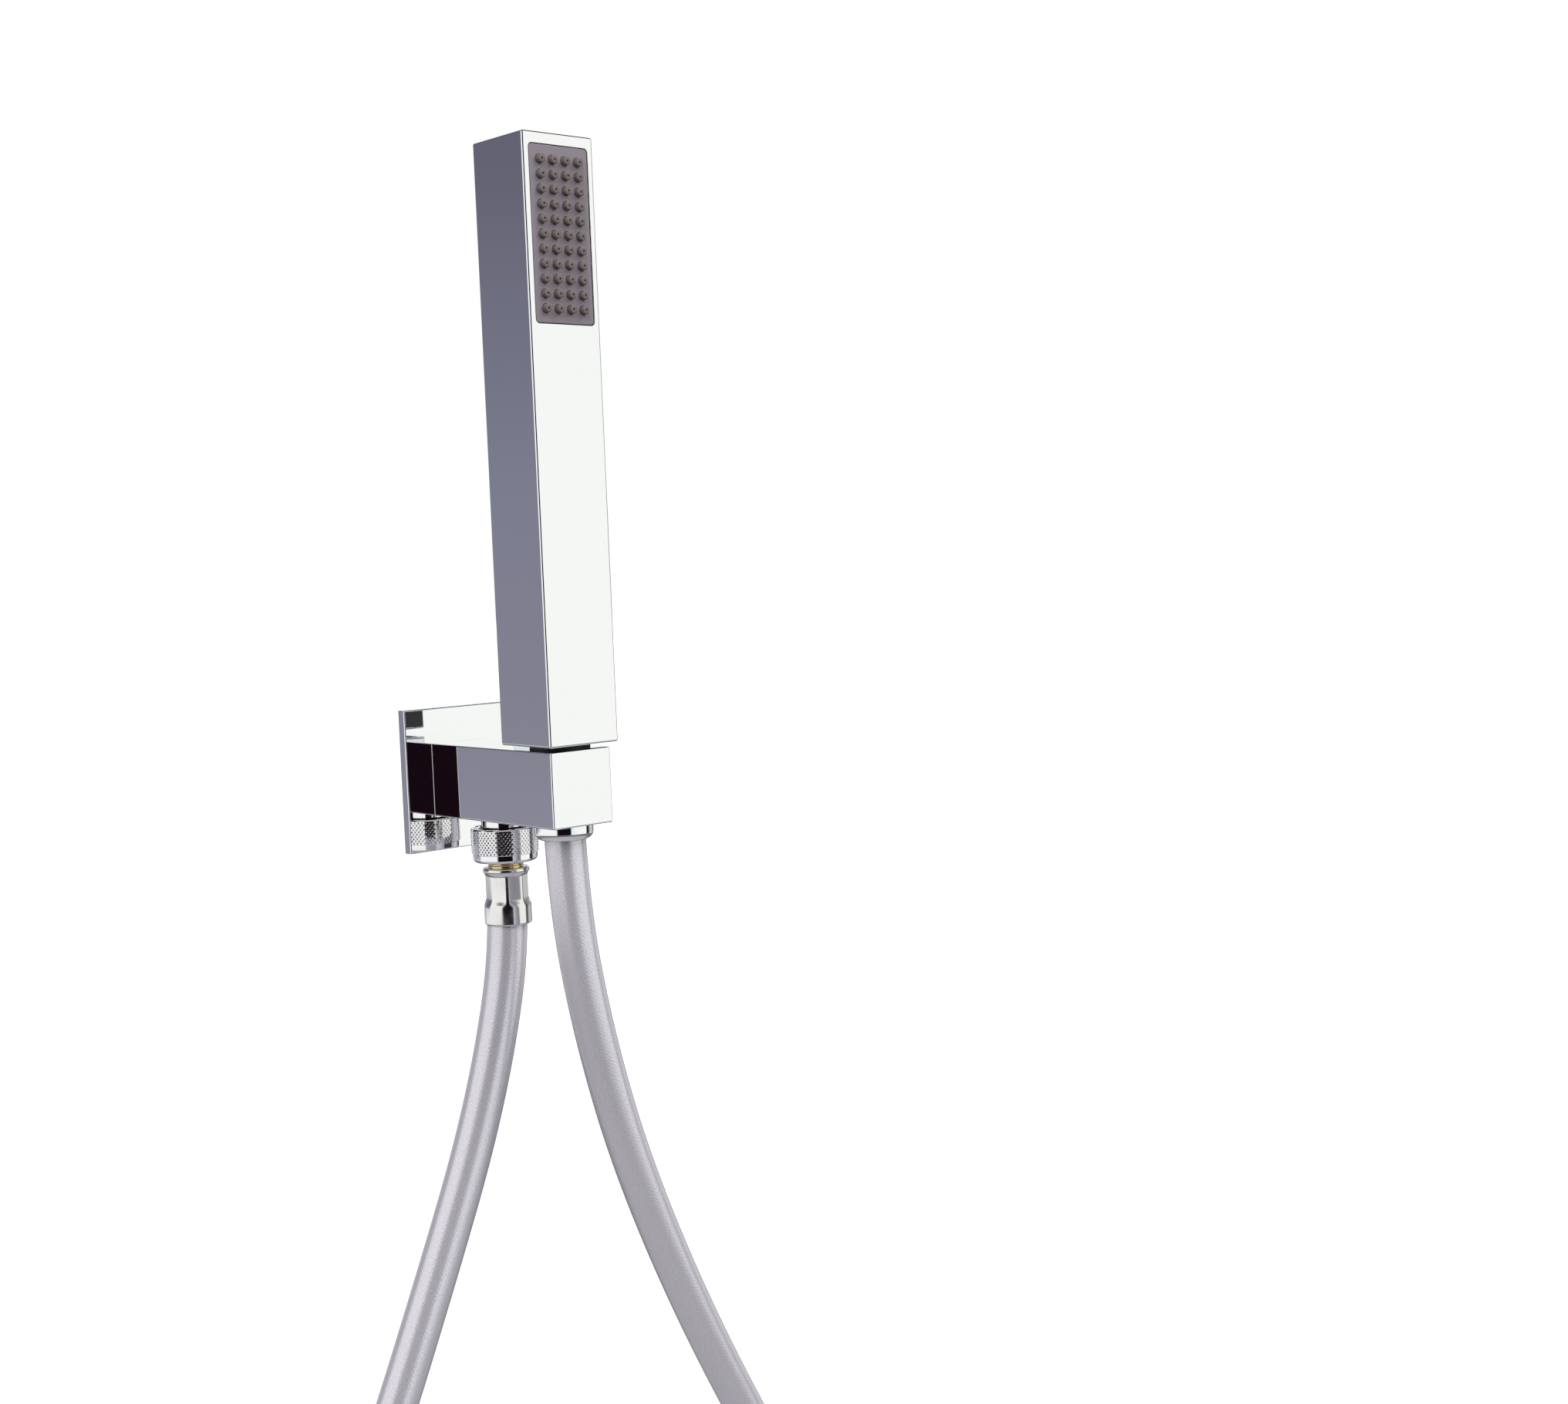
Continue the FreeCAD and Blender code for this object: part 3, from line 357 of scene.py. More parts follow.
class Board:
    """A node tree with short calls for placing nodes and joining them."""

    def __init__(self, tree):
        self.tree = tree
        tree.nodes.clear()

    def feed(self, made, wires):
        """Joins or sets a node's inputs, by name or number."""
        for key, value in wires.items():
            if isinstance(value, bpy.types.NodeSocket):
                self.tree.links.new(value, made.inputs[key])
            else:
                made.inputs[key].default_value = value
        return made

    def node(self, kind, wires=None, **settings):
        """One new node with its settings and its inputs."""
        made = self.tree.nodes.new(kind)
        for key, value in settings.items():
            setattr(made, key, value)
        return self.feed(made, wires or {})

    def sum(self, operation, *values):
        """The result of one math node."""
        wires = dict(enumerate(values))
        return self.node("ShaderNodeMath", wires, operation=operation).outputs[0]

    def fade(self, value, start, end):
        """0 below start, 1 above end, smooth between."""
        wires = {"Value": value, "From Min": start, "From Max": end}
        made = self.node("ShaderNodeMapRange", wires, interpolation_type="SMOOTHSTEP")
        return made.outputs["Result"]

    def mix(self, share, first, second, blend="MIX"):
        """Two colours mixed by a share."""
        made = self.node("ShaderNodeMix", data_type="RGBA", blend_type=blend)
        return self.feed(made, {0: share, 6: first, 7: second}).outputs[2]

    def ramp(self, value, stops):
        """A colour ramp from (position, colour) stops."""
        made = self.node("ShaderNodeValToRGB", {"Fac": value})
        band = made.color_ramp
        while len(band.elements) < len(stops):
            band.elements.new(0.5)
        for element, (place, colour) in zip(band.elements, stops):
            element.position = place
            element.color = (*colour[:3], 1)
        return made.outputs["Color"]


def build_studio():
    """The world's cards, by the angle from the camera's side and the elevation."""
    board = Board(world.node_tree)
    look = board.node("ShaderNodeTexCoord").outputs["Generated"]
    turned = board.node(
        "ShaderNodeVectorRotate",
        {"Vector": look, "Angle": math.pi / 2 - CAMERA_AZIMUTH},
        rotation_type="Z_AXIS",
    )
    parts = board.node("ShaderNodeSeparateXYZ", {0: turned.outputs[0]})
    x, y, z = parts.outputs
    angle = board.sum("ARCTAN2", y, x)
    rise = board.sum("ARCSINE", z)
    share = board.sum("MULTIPLY_ADD", angle, 0.5 / math.pi, 0.5)
    cards = board.ramp(share, [(a / 360 + 0.5, c) for a, c in ROUND_STOPS])
    degrees = board.sum("MULTIPLY", rise, 180 / math.pi)
    behind = board.sum("ABSOLUTE", angle)
    height = board.sum("MULTIPLY_ADD", degrees, 1 / RAMP_REACH, 0.5)
    grey = board.ramp(height, [(e / RAMP_REACH + 0.5, c) for e, c in GREY_CARD])
    shade = board.ramp(height, [(e / RAMP_REACH + 0.5, c) for e, c in BACK_SHADE])
    back = board.fade(behind, *map(math.radians, BACK_STARTS))
    cards = board.mix(back, cards, shade, "MULTIPLY")
    far = board.fade(behind, *map(math.radians, FAR_STARTS))
    lifted = board.sum("MULTIPLY", far, board.fade(degrees, *FAR_LIFT))
    cards = board.mix(lifted, cards, FAR_COLOUR)
    left = board.fade(angle, *map(math.radians, GREY_LEFT))
    right = board.fade(angle, *map(math.radians, GREY_RIGHT))
    over = board.fade(degrees, *GREY_FOOT)
    on_card = board.sum("MULTIPLY", board.sum("SUBTRACT", left, right), over)
    cards = board.mix(on_card, cards, grey)
    for way, start, end, colour in LAYERS:
        layer = board.fade(board.sum("MULTIPLY", degrees, float(way)), start, end)
        cards = board.mix(layer, cards, colour)
    seen = board.node("ShaderNodeLightPath").outputs["Is Camera Ray"]
    cards = board.mix(seen, cards, (1, 1, 1, 1))
    sky = board.node("ShaderNodeBackground", {"Color": cards})
    board.node("ShaderNodeOutputWorld", {"Surface": sky.outputs[0]})


build_studio()
print("studio has", len(world.node_tree.nodes), "nodes")

# %% [markdown]
# The floor is a wide pale plane a little under the loop of the hose.  Two big soft lights
# shade the plastic and rubber, one from each side.  Metal doesn't mirror them, because the
# painted cards already give it its highlights.

# %% Floor and soft lights
FLOOR_SIZE, FLOOR_GAP = 40, 0.03


def build_floor():
    """A pale floor under the loop of the hose, which only the camera sees."""
    start_clean()
    bpy.ops.mesh.primitive_plane_add(size=FLOOR_SIZE, location=(0, 0, cad_low.z - FLOOR_GAP))
    floor = named("floor")
    paint = bpy.data.materials.new("pale_floor")
    paint.use_nodes = True
    shader = paint.node_tree.nodes["Principled BSDF"]
    shader.inputs["Base Color"].default_value = (0.9, 0.9, 0.9, 1)
    shader.inputs["Emission Color"].default_value = (1, 1, 1, 1)
    shader.inputs["Emission Strength"].default_value = 0.95
    floor.data.materials.append(paint)
    floor.visible_glossy = False
    floor.visible_diffuse = False
    return floor


floor = build_floor()


def soft_light(name, place, size, power):
    """An area light aimed at the middle, which polished metal doesn't mirror."""
    bpy.ops.object.light_add(type="AREA", location=place)
    light = bpy.context.object
    light.name = name
    light.data.size = size
    light.data.energy = power
    light.rotation_euler = Vector(place).to_track_quat("Z", "Y").to_euler()
    light.visible_glossy = False


soft_light("key_light", (0.85, -1.0, 1.6), 1.4, 34)
soft_light("fill_light", (-0.8, -0.6, 1.1), 0.8, 15)
print("floor at", round(floor.data.vertices[0].co.z, 3))

# %% [markdown]
# Finishes.  Three small effects are shared by several materials, so each is a node group:
# slow waviness and fine smudges for polished metal, turning lines for parts cut on a lathe,
# and fine grain for moulded plastic and rubber.  A group gives only values and normals, and
# the shader stays in the material.

# %% Effect groups
def effect_group(name, inputs, outputs, build):
    """A shader node group with named inputs and outputs, filled by `build`."""
    tree = bpy.data.node_groups.new(name, "ShaderNodeTree")
    for label, start in inputs.items():
        kind = "NodeSocketVector" if label == "Vector" else "NodeSocketFloat"
        made = tree.interface.new_socket(label, in_out="INPUT", socket_type=kind)
        if kind == "NodeSocketFloat":
            made.default_value = start
    for label in outputs:
        kind = "NodeSocketVector" if label == "Normal" else "NodeSocketFloat"
        tree.interface.new_socket(label, in_out="OUTPUT", socket_type=kind)
    board = Board(tree)
    given = board.node("NodeGroupInput").outputs
    found = build(board, given)
    board.node("NodeGroupOutput", dict(zip(outputs, found)))
    return tree


def polish(board, given):
    """Roughness with fine smudges, and a normal with very slight waviness."""
    smear = board.node(
        "ShaderNodeTexNoise",
        {"Vector": given["Vector"], "Scale": 140.0, "Detail": 5.0, "Distortion": 0.6},
    )
    smudge = board.fade(smear.outputs["Fac"], 0.42, 0.75)
    rough = board.sum("MULTIPLY_ADD", smudge, given["Smudge"], given["Roughness"])
    wave = board.node(
        "ShaderNodeTexNoise", {"Vector": given["Vector"], "Scale": 45.0, "Detail": 1.0}
    )
    bump = board.node(
        "ShaderNodeBump",
        {"Height": wave.outputs["Fac"], "Strength": given["Wave"], "Distance": MM},
    )
    return rough, bump.outputs["Normal"]


def turning(board, given):
    """Fine rings about an upright axis, as a lathe tool leaves them."""
    rings = board.node(
        "ShaderNodeTexWave",
        {"Vector": given["Vector"], "Scale": given["Scale"], "Distortion": 1.5, "Detail": 2.0},
        wave_type="BANDS",
        bands_direction="Z",
    )
    grain = board.node(
        "ShaderNodeTexNoise", {"Vector": given["Vector"], "Scale": 900.0, "Detail": 2.0}
    )
    height = board.sum("MULTIPLY_ADD", grain.outputs["Fac"], 0.5, rings.outputs["Fac"])
    bump = board.node(
        "ShaderNodeBump", {"Height": height, "Strength": given["Depth"], "Distance": 0.1 * MM}
    )
    return rings.outputs["Fac"], bump.outputs["Normal"]


def grain(board, given):
    """Fine moulded grain: a mask for colour, and a normal."""
    speck = board.node(
        "ShaderNodeTexNoise",
        {"Vector": given["Vector"], "Scale": given["Scale"], "Detail": 4.0},
    )
    bump = board.node(
        "ShaderNodeBump",
        {"Height": speck.outputs["Fac"], "Strength": given["Depth"], "Distance": 0.1 * MM},
    )
    return speck.outputs["Fac"], bump.outputs["Normal"]


POLISH = effect_group(
    "polish",
    {"Vector": None, "Roughness": 0.03, "Smudge": 0.05, "Wave": 0.02},
    ("Roughness", "Normal"),
    polish,
)
TURNING = effect_group(
    "turning_lines",
    {"Vector": None, "Scale": 900.0, "Depth": 0.2},
    ("Mask", "Normal"),
    turning,
)
GRAIN = effect_group(
    "moulded_grain",
    {"Vector": None, "Scale": 2500.0, "Depth": 0.2},
    ("Mask", "Normal"),
    grain,
)
print("effects", [group.name for group in (POLISH, TURNING, GRAIN)])

# %% [markdown]
# Each kind of finish is one function, which joins a group to a Principled shader.  Plating,
# lathe-cut metal and moulded parts then differ only in their colours and their values.

# %% Materials from the groups
def new_finish(name):
    """An empty material with its board, a Principled shader and an output."""
    paint = bpy.data.materials.new(name)
    paint.use_nodes = True
    board = Board(paint.node_tree)
    shader = board.node("ShaderNodeBsdfPrincipled")
    board.node("ShaderNodeOutputMaterial", {"Surface": shader.outputs[0]})
    place = board.node("ShaderNodeTexCoord").outputs["Object"]
    return paint, board, shader, place


def effect(board, group, place, **values):
    """One use of an effect group."""
    made = board.node("ShaderNodeGroup", node_tree=group)
    return board.feed(made, {"Vector": place, **values}).outputs


def plate_finish(name, colour, tint, rough, smudge, wave):
    """Polished or satin plating: two close colours, smudges and slight waviness."""
    paint, board, shader, place = new_finish(name)
    shine = effect(board, POLISH, place, Roughness=rough, Smudge=smudge, Wave=wave)
    cloud = board.node("ShaderNodeTexNoise", {"Vector": place, "Scale": 18.0, "Detail": 2.0})
    shade = board.mix(cloud.outputs["Fac"], (*colour, 1), (*tint, 1))
    board.feed(shader, {"Metallic": 1.0, "Base Color": shade})
    board.feed(shader, {"Roughness": shine["Roughness"], "Normal": shine["Normal"]})
    return paint


def turned_finish(name, dark, light, rough, lines, depth):
    """Bare metal from a lathe, with fine rings."""
    paint, board, shader, place = new_finish(name)
    cut = effect(board, TURNING, place, Scale=lines, Depth=depth)
    shade = board.mix(cut["Mask"], (*dark, 1), (*light, 1))
    spread = board.sum("MULTIPLY_ADD", cut["Mask"], 0.12, rough)
    board.feed(shader, {"Metallic": 1.0, "Base Color": shade})
    board.feed(shader, {"Roughness": spread, "Normal": cut["Normal"]})
    return paint


def moulded_finish(name, dark, light, rough, scale, depth):
    """Moulded plastic, rubber or foam with a fine grain."""
    paint, board, shader, place = new_finish(name)
    skin = effect(board, GRAIN, place, Scale=scale, Depth=depth)
    shade = board.mix(skin["Mask"], (*dark, 1), (*light, 1))
    spread = board.sum("MULTIPLY_ADD", skin["Mask"], 0.15, rough)
    board.feed(shader, {"Base Color": shade, "Roughness": spread, "Normal": skin["Normal"]})
    return paint


PLATED = {
    "chrome": ((0.955, 0.955, 0.96), (0.97, 0.97, 0.965), 0.015, 0.03, 0.015),
    "knurl_chrome": ((0.93, 0.93, 0.94), (0.96, 0.96, 0.96), 0.04, 0.05, 0.02),
    "stainless": ((0.88, 0.87, 0.85), (0.94, 0.93, 0.91), 0.15, 0.08, 0.05),
}
MOULDED = {
    "face_plastic": ((0.205, 0.172, 0.20), (0.245, 0.21, 0.24), 0.42, 2200.0, 0.10),
    "nozzle_rubber": ((0.12, 0.096, 0.092), (0.17, 0.14, 0.134), 0.42, 3000.0, 0.2),
    "seal_rubber": ((0.012, 0.012, 0.013), (0.030, 0.030, 0.032), 0.55, 2600.0, 0.30),
    "seal_foam": ((0.07, 0.07, 0.075), (0.16, 0.16, 0.165), 0.85, 1400.0, 1.0),
    "inner_plastic": ((0.60, 0.60, 0.58), (0.72, 0.72, 0.70), 0.38, 1800.0, 0.10),
}
CHROME, KNURL_CHROME, STEEL = (plate_finish(name, *look) for name, look in PLATED.items())
BRASS = turned_finish("brass", (0.72, 0.54, 0.25), (0.84, 0.66, 0.36), 0.12, 260.0, 0.05)
FACE, NOZZLE, RUBBER, FOAM, INNER = (
    moulded_finish(name, *look) for name, look in MOULDED.items()
)
print("finishes", len(bpy.data.materials))


def dress(piece, node, finish):
    """Gives a piece its material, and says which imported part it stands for."""
    piece.data.materials.clear()
    piece.data.materials.append(finish)
    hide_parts(node)
    print(node, "has", len(piece.data.polygons), "faces")


# %% [markdown]
# The hose is clear plastic over a woven sleeve of silver thread, with fine sparkle.  Two sets
# of diagonal stripes cross in its UV map, one for each direction of the weave, and small
# bright specks sit among them.  It is half metal, half plastic, so it shows soft bands of
# the white cards, and a clear coat gives the thin gloss of the outer skin.

# %% Hose material
WEAVE_STEEP = 1.0
WEAVE_THREADS = 30


def hose_finish():
    """Silver weave under clear plastic, on the hose's own UV map."""
    paint, board, shader, _ = new_finish("hose_plastic")
    along = board.node("ShaderNodeUVMap", uv_map="along").outputs["UV"]
    parts = board.node("ShaderNodeSeparateXYZ", {0: along})
    u, v = parts.outputs[0], parts.outputs[1]
    threads = []
    for way in (1.0, -1.0):
        lean = board.sum("MULTIPLY_ADD", v, way * WEAVE_STEEP, u)
        phase = board.sum("MULTIPLY", lean, 2 * math.pi * WEAVE_THREADS)
        threads.append(board.sum("MULTIPLY_ADD", board.sum("SINE", phase), 0.5, 0.5))
    woven = board.sum("MULTIPLY", threads[0], threads[1])
    wide = board.node("ShaderNodeMapping", {"Vector": along, "Scale": (6.28, 6.28, 1)})
    sparkle = board.node(
        "ShaderNodeTexNoise",
        {"Vector": wide.outputs[0], "Scale": 13.0, "Detail": 5.0, "Roughness": 0.8},
    )
    specks = board.fade(sparkle.outputs["Fac"], 0.38, 0.62)
    shade = board.mix(woven, (0.88, 0.85, 0.905, 1), (0.96, 0.93, 0.98, 1))
    shade = board.mix(specks, board.mix(0.7, shade, (0.60, 0.57, 0.63, 1)), shade)
    height = board.sum("MULTIPLY_ADD", sparkle.outputs["Fac"], 0.7, woven)
    bump = board.node(
        "ShaderNodeBump", {"Height": height, "Strength": 0.10, "Distance": 0.2 * MM}
    )
    rough = board.sum("MULTIPLY_ADD", specks, -0.06, 0.32)
    board.feed(shader, {"Base Color": shade, "Roughness": rough, "Metallic": 0.5})
    board.feed(shader, {"Normal": bump.outputs["Normal"]})
    board.feed(shader, {"Coat Weight": 0.2, "Coat Roughness": 0.25})
    return paint


HOSE = hose_finish()
dress(wall_hose, "hose_wall_half", HOSE)
dress(stick_hose, "hose_handset_half", HOSE)

# %% [markdown]
# Most round parts are turned, so one helper makes them as a lathe would.  It starts with a
# circle of edges, then extrudes it from point to point of the part's outline and scales it
# to each radius.  The outline ends where it began, and its doubles are merged.  The sharp
# corners get a small bevel, and weighted normals keep flat faces flat in the reflections.

# %% Turned pieces
def finish_metal(piece, edge, slope=35, segments=3):
    """Bevels the sharp edges, then smooths with weighted normals."""
    only(piece)
    if edge:
        bevel = piece.modifiers.new("edge", "BEVEL")
        bevel.width = edge
        bevel.segments = segments
        bevel.limit_method = "ANGLE"
        bevel.angle_limit = math.radians(slope)
        bpy.ops.object.modifier_apply(modifier=bevel.name)
    bpy.ops.object.shade_smooth_by_angle(angle=math.radians(slope))
    weigh = piece.modifiers.new("weigh", "WEIGHTED_NORMAL")
    weigh.keep_sharp = True
    bpy.ops.object.modifier_apply(modifier=weigh.name)


SAME_POINT = 0.0005 * MM


def turned(name, outline, y, sides=128):
    """A ring-shaped piece about an upright axis, from a closed (radius, height) outline."""
    start_clean()
    points = [(r * MM, h * MM) for r, h in outline]
    radius, height = points[0]
    bpy.ops.mesh.primitive_circle_add(
        vertices=sides, radius=radius, location=(0, y * MM, height)
    )
    piece = named(name)
    edit(piece, "EDGE")
    bpy.ops.mesh.select_all(action="SELECT")
    for later, top in points[1:] + points[:1]:
        lift = {"value": (0, 0, top - height)}
        bpy.ops.mesh.extrude_region_move(TRANSFORM_OT_translate=lift)
        grow = later / radius
        bpy.ops.transform.resize(value=(grow, grow, 1), center_override=(0, y * MM, top))
        radius, height = later, top
    bpy.ops.mesh.select_all(action="SELECT")
    bpy.ops.mesh.remove_doubles(threshold=SAME_POINT)
    bpy.ops.mesh.normals_make_consistent(inside=False)
    bpy.ops.object.mode_set(mode="OBJECT")
    return piece


OUTLET_Y = -30.0
HANDSET_Y = -67.6

# %% [markdown]
# The hose cone is a plain tapered sleeve.  Its rounded foot shows under the holder, and the
# rest shows when the stick is lifted out.  A black band round its shoulder is painted shade:
# it stands for the shadow in the gap between the holder and the stick, and draws it as a
# dark line.

# %% Hose cone
# Heights of the painted shade band: black finish on the chrome where the gap under the stick is
# in shadow.
SHADE_BAND_FOOT, SHADE_BAND_TOP = 13.2, 15.5
cone = turned(
    "hose_cone",
    [
        (7.8, -17.5), (7.8, -18.85), (8.1, -19.0), (8.67, -18.91), (9.3, -18.65),
        (9.84, -18.24), (10.25, -17.7), (10.51, -17.07), (10.62, -16.3), (10.87, SHADE_BAND_FOOT),
        (10.87, 15.4), (10.4, 15.4), (10.4, 23.5), (9.4, 24.5), (6.52, 24.5), (6.52, 8.0),
        (8.75, 8.0), (8.75, -17.5),
    ],
    HANDSET_Y,
)
finish_metal(cone, 0.12 * MM)
dress(cone, "hose_cone", CHROME)
# The shoulder band takes the black rubber finish as painted shade, for the shadowed gap between
# holder and stick.
cone.data.materials.append(RUBBER)
band = [f for f in cone.data.polygons if SHADE_BAND_FOOT * MM < f.center.z < SHADE_BAND_TOP * MM]
for face in band:
    face.material_index = 1
print("faces in the black band", len(band))

# %% [markdown]
# The outlet nipple is the smooth neck that shows between the arm and the nut.  The nut turns
# on its thread.

# %% Outlet nipple
neck = turned(
    "outlet_nipple",
    [
        (4.5, -5.0), (8.0, -5.0), (8.0, -13.7), (8.4, -13.7), (8.4, -18.6), (9.9, -18.6),
        (10.45, -19.2), (10.45, -23.9), (9.9, -24.5), (6.05, -24.5), (6.05, -8.6),
        (4.5, -8.6),
    ],
    OUTLET_Y,
)
finish_metal(neck, 0.1 * MM)
dress(neck, "outlet_nipple", CHROME)

# %% [markdown]
# The nut's grip is a diamond knurl: rows of small pits, each row half a step round from the
# last, which leave a bright net of crossing ridges.  The grip is turned with six points to
# a step both ways.  The points in and around each pit are pushed in, then its middle once
# more, and each face is split along its shorter diagonal, which gives the pit its sides.

# %% Knurled nut
DIAMONDS = 54
PIT_STEP = 6
KNURL_DEEP = 0.36
NUT_TOP = -17.2
GRIP_RADIUS = 12.38
GRIP_INSIDE = 11.5
GRIP_TOP = -17.75
GRIP_FOOT = -26.75
GRIP_ROWS = 31
grip_step = (GRIP_TOP - GRIP_FOOT) / GRIP_ROWS
grip_rows = [(GRIP_RADIUS, GRIP_TOP - grip_step * i) for i in range(GRIP_ROWS + 1)]
nut = turned(
    "outlet_nut",
    [
        (11.1, -18.8), (11.1, -17.35), (11.25, NUT_TOP), (11.95, NUT_TOP), (12.1, -17.3),
        *grip_rows, (11.95, -27.0), (11.95, -28.9), (11.6, -29.6), (10.9, -30.0),
        (7.3, -30.0), (7.1, -29.85), (7.1, -28.35), (10.55, -28.35), (10.55, -18.8),
    ],
    OUTLET_Y,
    sides=PIT_STEP * DIAMONDS,
)


def knurl(piece):
    """Pushes in the pits and splits the grip's faces round them."""
    edit(piece, "VERT")
    axis = Vector((0, OUTLET_Y * MM, 0))

    def from_pit(vertex):
        """Steps from the nearest pit's middle, or a large number off the grip."""
        row = round((GRIP_TOP * MM - vertex.co.z) / (grip_step * MM))
        out = (vertex.co - axis).to_2d()
        if out.length < (GRIP_RADIUS - KNURL_DEEP) * MM or not 0 < row < GRIP_ROWS:
            return PIT_STEP
        column = round(math.atan2(out.y, out.x) / (2 * math.pi) * PIT_STEP * DIAMONDS)
        half = PIT_STEP // 2
        steps = []
        for shift in (0, half):
            down = (row - 2 + shift + half) % PIT_STEP - half
            across = (column + shift + half) % PIT_STEP - half
            steps.append(abs(down) + abs(across))
        return min(steps)

    shrink = 1 - KNURL_DEEP / 2 / GRIP_RADIUS
    lowered = []
    for reach in (1, 0):
        lowered.append(pick(piece, lambda v: from_pit(v) <= reach, "VERT"))
        bpy.ops.transform.resize(value=(shrink, shrink, 1), center_override=axis)
    bpy.ops.mesh.select_mode(type="FACE")

    def on_grip(face):
        away = (middle(face) - axis).to_2d().length
        return away > GRIP_INSIDE * MM and GRIP_FOOT * MM < middle(face).z < GRIP_TOP * MM

    net = pick(piece, on_grip)
    bpy.ops.mesh.quads_convert_to_tris(quad_method="SHORTEST_DIAGONAL")
    bpy.ops.object.mode_set(mode="OBJECT")
    return lowered, net


print("knurl: pits, faces split", knurl(nut))
only(nut)
bpy.ops.object.shade_smooth_by_angle(angle=math.radians(24))
dress(nut, "outlet_nut", KNURL_CHROME)

# %% [markdown]
# The brass stem shows as one bright ring between the nut and the ferrule.

# %% Brass stem
stem = turned(
    "lower_barb",
    [
        (3.6, -26.5), (9.6, -26.5), (9.6, -28.25), (6.6, -28.25), (6.6, -30.6),
        (6.35, -30.9), (6.35, -31.3), (6.6, -31.6), (6.6, -32.3), (4.72, -32.3),
        (4.72, -47.1), (4.22, -48.6), (3.6, -48.6),
    ],
    OUTLET_Y,
    sides=96,
)
finish_metal(stem, 0.1 * MM)
dress(stem, "lower_barb", BRASS)

# %% [markdown]
# The ferrule is a thin steel sleeve that a crimping tool has pressed onto the hose from
# eight sides.  It starts as an eight-sided tube with its upright edges bevelled.  Rings
# extruded from it are made round again with To Sphere, for the rim above and the swell
# below, so the flats run out into them as pressed metal does.

# %% Crimped ferrule
FLATS = 8
FLATS_RADIUS = 8.0
FLATS_TURNED = math.radians(11)
RIM_TOP, RIM_LOW = -32.3, -34.0
WAIST_TOP, WAIST_LOW = -35.6, -43.8
SWELL_TOP, FOOT = -46.4, -53.6
RIM_RINGS = [
    (7.98, -35.1, 0.5), (8.0, -34.7, 0.9), (8.35, -34.3, 1), (8.6, RIM_LOW, 1),
    (8.7, -33.6, 1), (8.7, -33.2, 1), (8.6, -32.8, 1), (8.3, -32.45, 1), (7.8, RIM_TOP, 1),
    (4.78, RIM_TOP, 1), (4.78, -33.4, 1), (7.4, -33.4, 1),
]
SWELL_RINGS = [
    (8.0, -44.3, 0.1), (8.2, -45.0, 0.3), (8.5, -45.7, 0.6), (8.7, SWELL_TOP, 0.85),
    (8.78, -47.0, 1), (8.8, -52.9, 1), (8.65, -53.4, 1), (8.35, FOOT, 1), (8.15, FOOT, 1),
    (8.15, -47.6, 1), (7.4, -45.4, 1),
]
LEVEL = 1e-6  # metres, between points that count as level


def round_ring(piece, centre, radius, height, shape):
    """Carries the selected ring to a height, makes it round by a share, and sizes it."""
    mesh = bmesh.from_edit_mesh(piece.data)
    before = [v.co.z for v in mesh.verts if v.select]
    bpy.ops.mesh.extrude_region_move(
        TRANSFORM_OT_translate={"value": (0, 0, height * MM - before[0])}
    )
    bpy.ops.transform.tosphere(value=shape)
    mesh = bmesh.from_edit_mesh(piece.data)
    reach = max((v.co - centre).to_2d().length for v in mesh.verts if v.select)
    grow = radius * MM / reach
    middle_point = (centre.x, centre.y, height * MM)
    bpy.ops.transform.resize(value=(grow, grow, 1), center_override=middle_point)


def build_ferrule():
    """The crimped sleeve, as a closed thin wall."""
    start_clean()
    centre = Vector((0, OUTLET_Y * MM, 0))
    bpy.ops.mesh.primitive_cylinder_add(
        vertices=FLATS,
        radius=FLATS_RADIUS * MM,
        depth=(WAIST_TOP - WAIST_LOW) * MM,
        end_fill_type="NOTHING",
        location=(0, centre.y, (WAIST_TOP + WAIST_LOW) / 2 * MM),
        rotation=(0, 0, FLATS_TURNED),
    )
    piece = named("lower_ferrule")
    edit(piece, "EDGE")
    pick(piece, lambda e: abs(e.verts[0].co.z - e.verts[1].co.z) > MM, "EDGE")
    bpy.ops.mesh.bevel(offset=0.8 * MM, segments=5, profile=0.5)
    pick(piece, lambda e: e.calc_length() > 2 * MM and not runs(e, 2), "EDGE")
    bpy.ops.mesh.subdivide(number_cuts=7)
    inner = []
    for start, rings in ((WAIST_TOP, RIM_RINGS), (WAIST_LOW, SWELL_RINGS)):
        bpy.ops.mesh.select_mode(type="EDGE")
        bpy.ops.mesh.select_all(action="DESELECT")
        pick(piece, lambda e: all(abs(v.co.z - start * MM) < LEVEL for v in e.verts), "EDGE")
        for ring in rings:
            round_ring(piece, centre, *ring)
        inner.append(rings[-1][1] * MM)
    bpy.ops.mesh.select_all(action="DESELECT")

    def open_end(edge):
        return edge.is_boundary and any(abs(middle(edge).z - z) < LEVEL for z in inner)

    pick(piece, open_end, "EDGE")
    bpy.ops.mesh.bridge_edge_loops()
    bpy.ops.mesh.select_all(action="SELECT")
    bpy.ops.mesh.normals_make_consistent(inside=False)
    bpy.ops.object.mode_set(mode="OBJECT")
    return piece


ferrule = build_ferrule()
finish_metal(ferrule, 0, slope=50)
dress(ferrule, "lower_ferrule", STEEL)

# %% [markdown]
# The square parts are blocks with small rounded edges.  A block is a cube at its size and
# place with its edges bevelled in edit mode.  Holes and hollows are cut with Boolean
# modifiers, each from a cutter that is removed afterwards.

# %% Blocks and cutters
NEAR, HAIR = 0.1, 0.01  # millimetres, for picking by place


def block(name, low, high):
    """A cube between two corners, in millimetres."""
    start_clean()
    low, high = Vector(low) * MM, Vector(high) * MM
    bpy.ops.mesh.primitive_cube_add(size=1, location=(low + high) / 2, scale=high - low)
    return named(name)


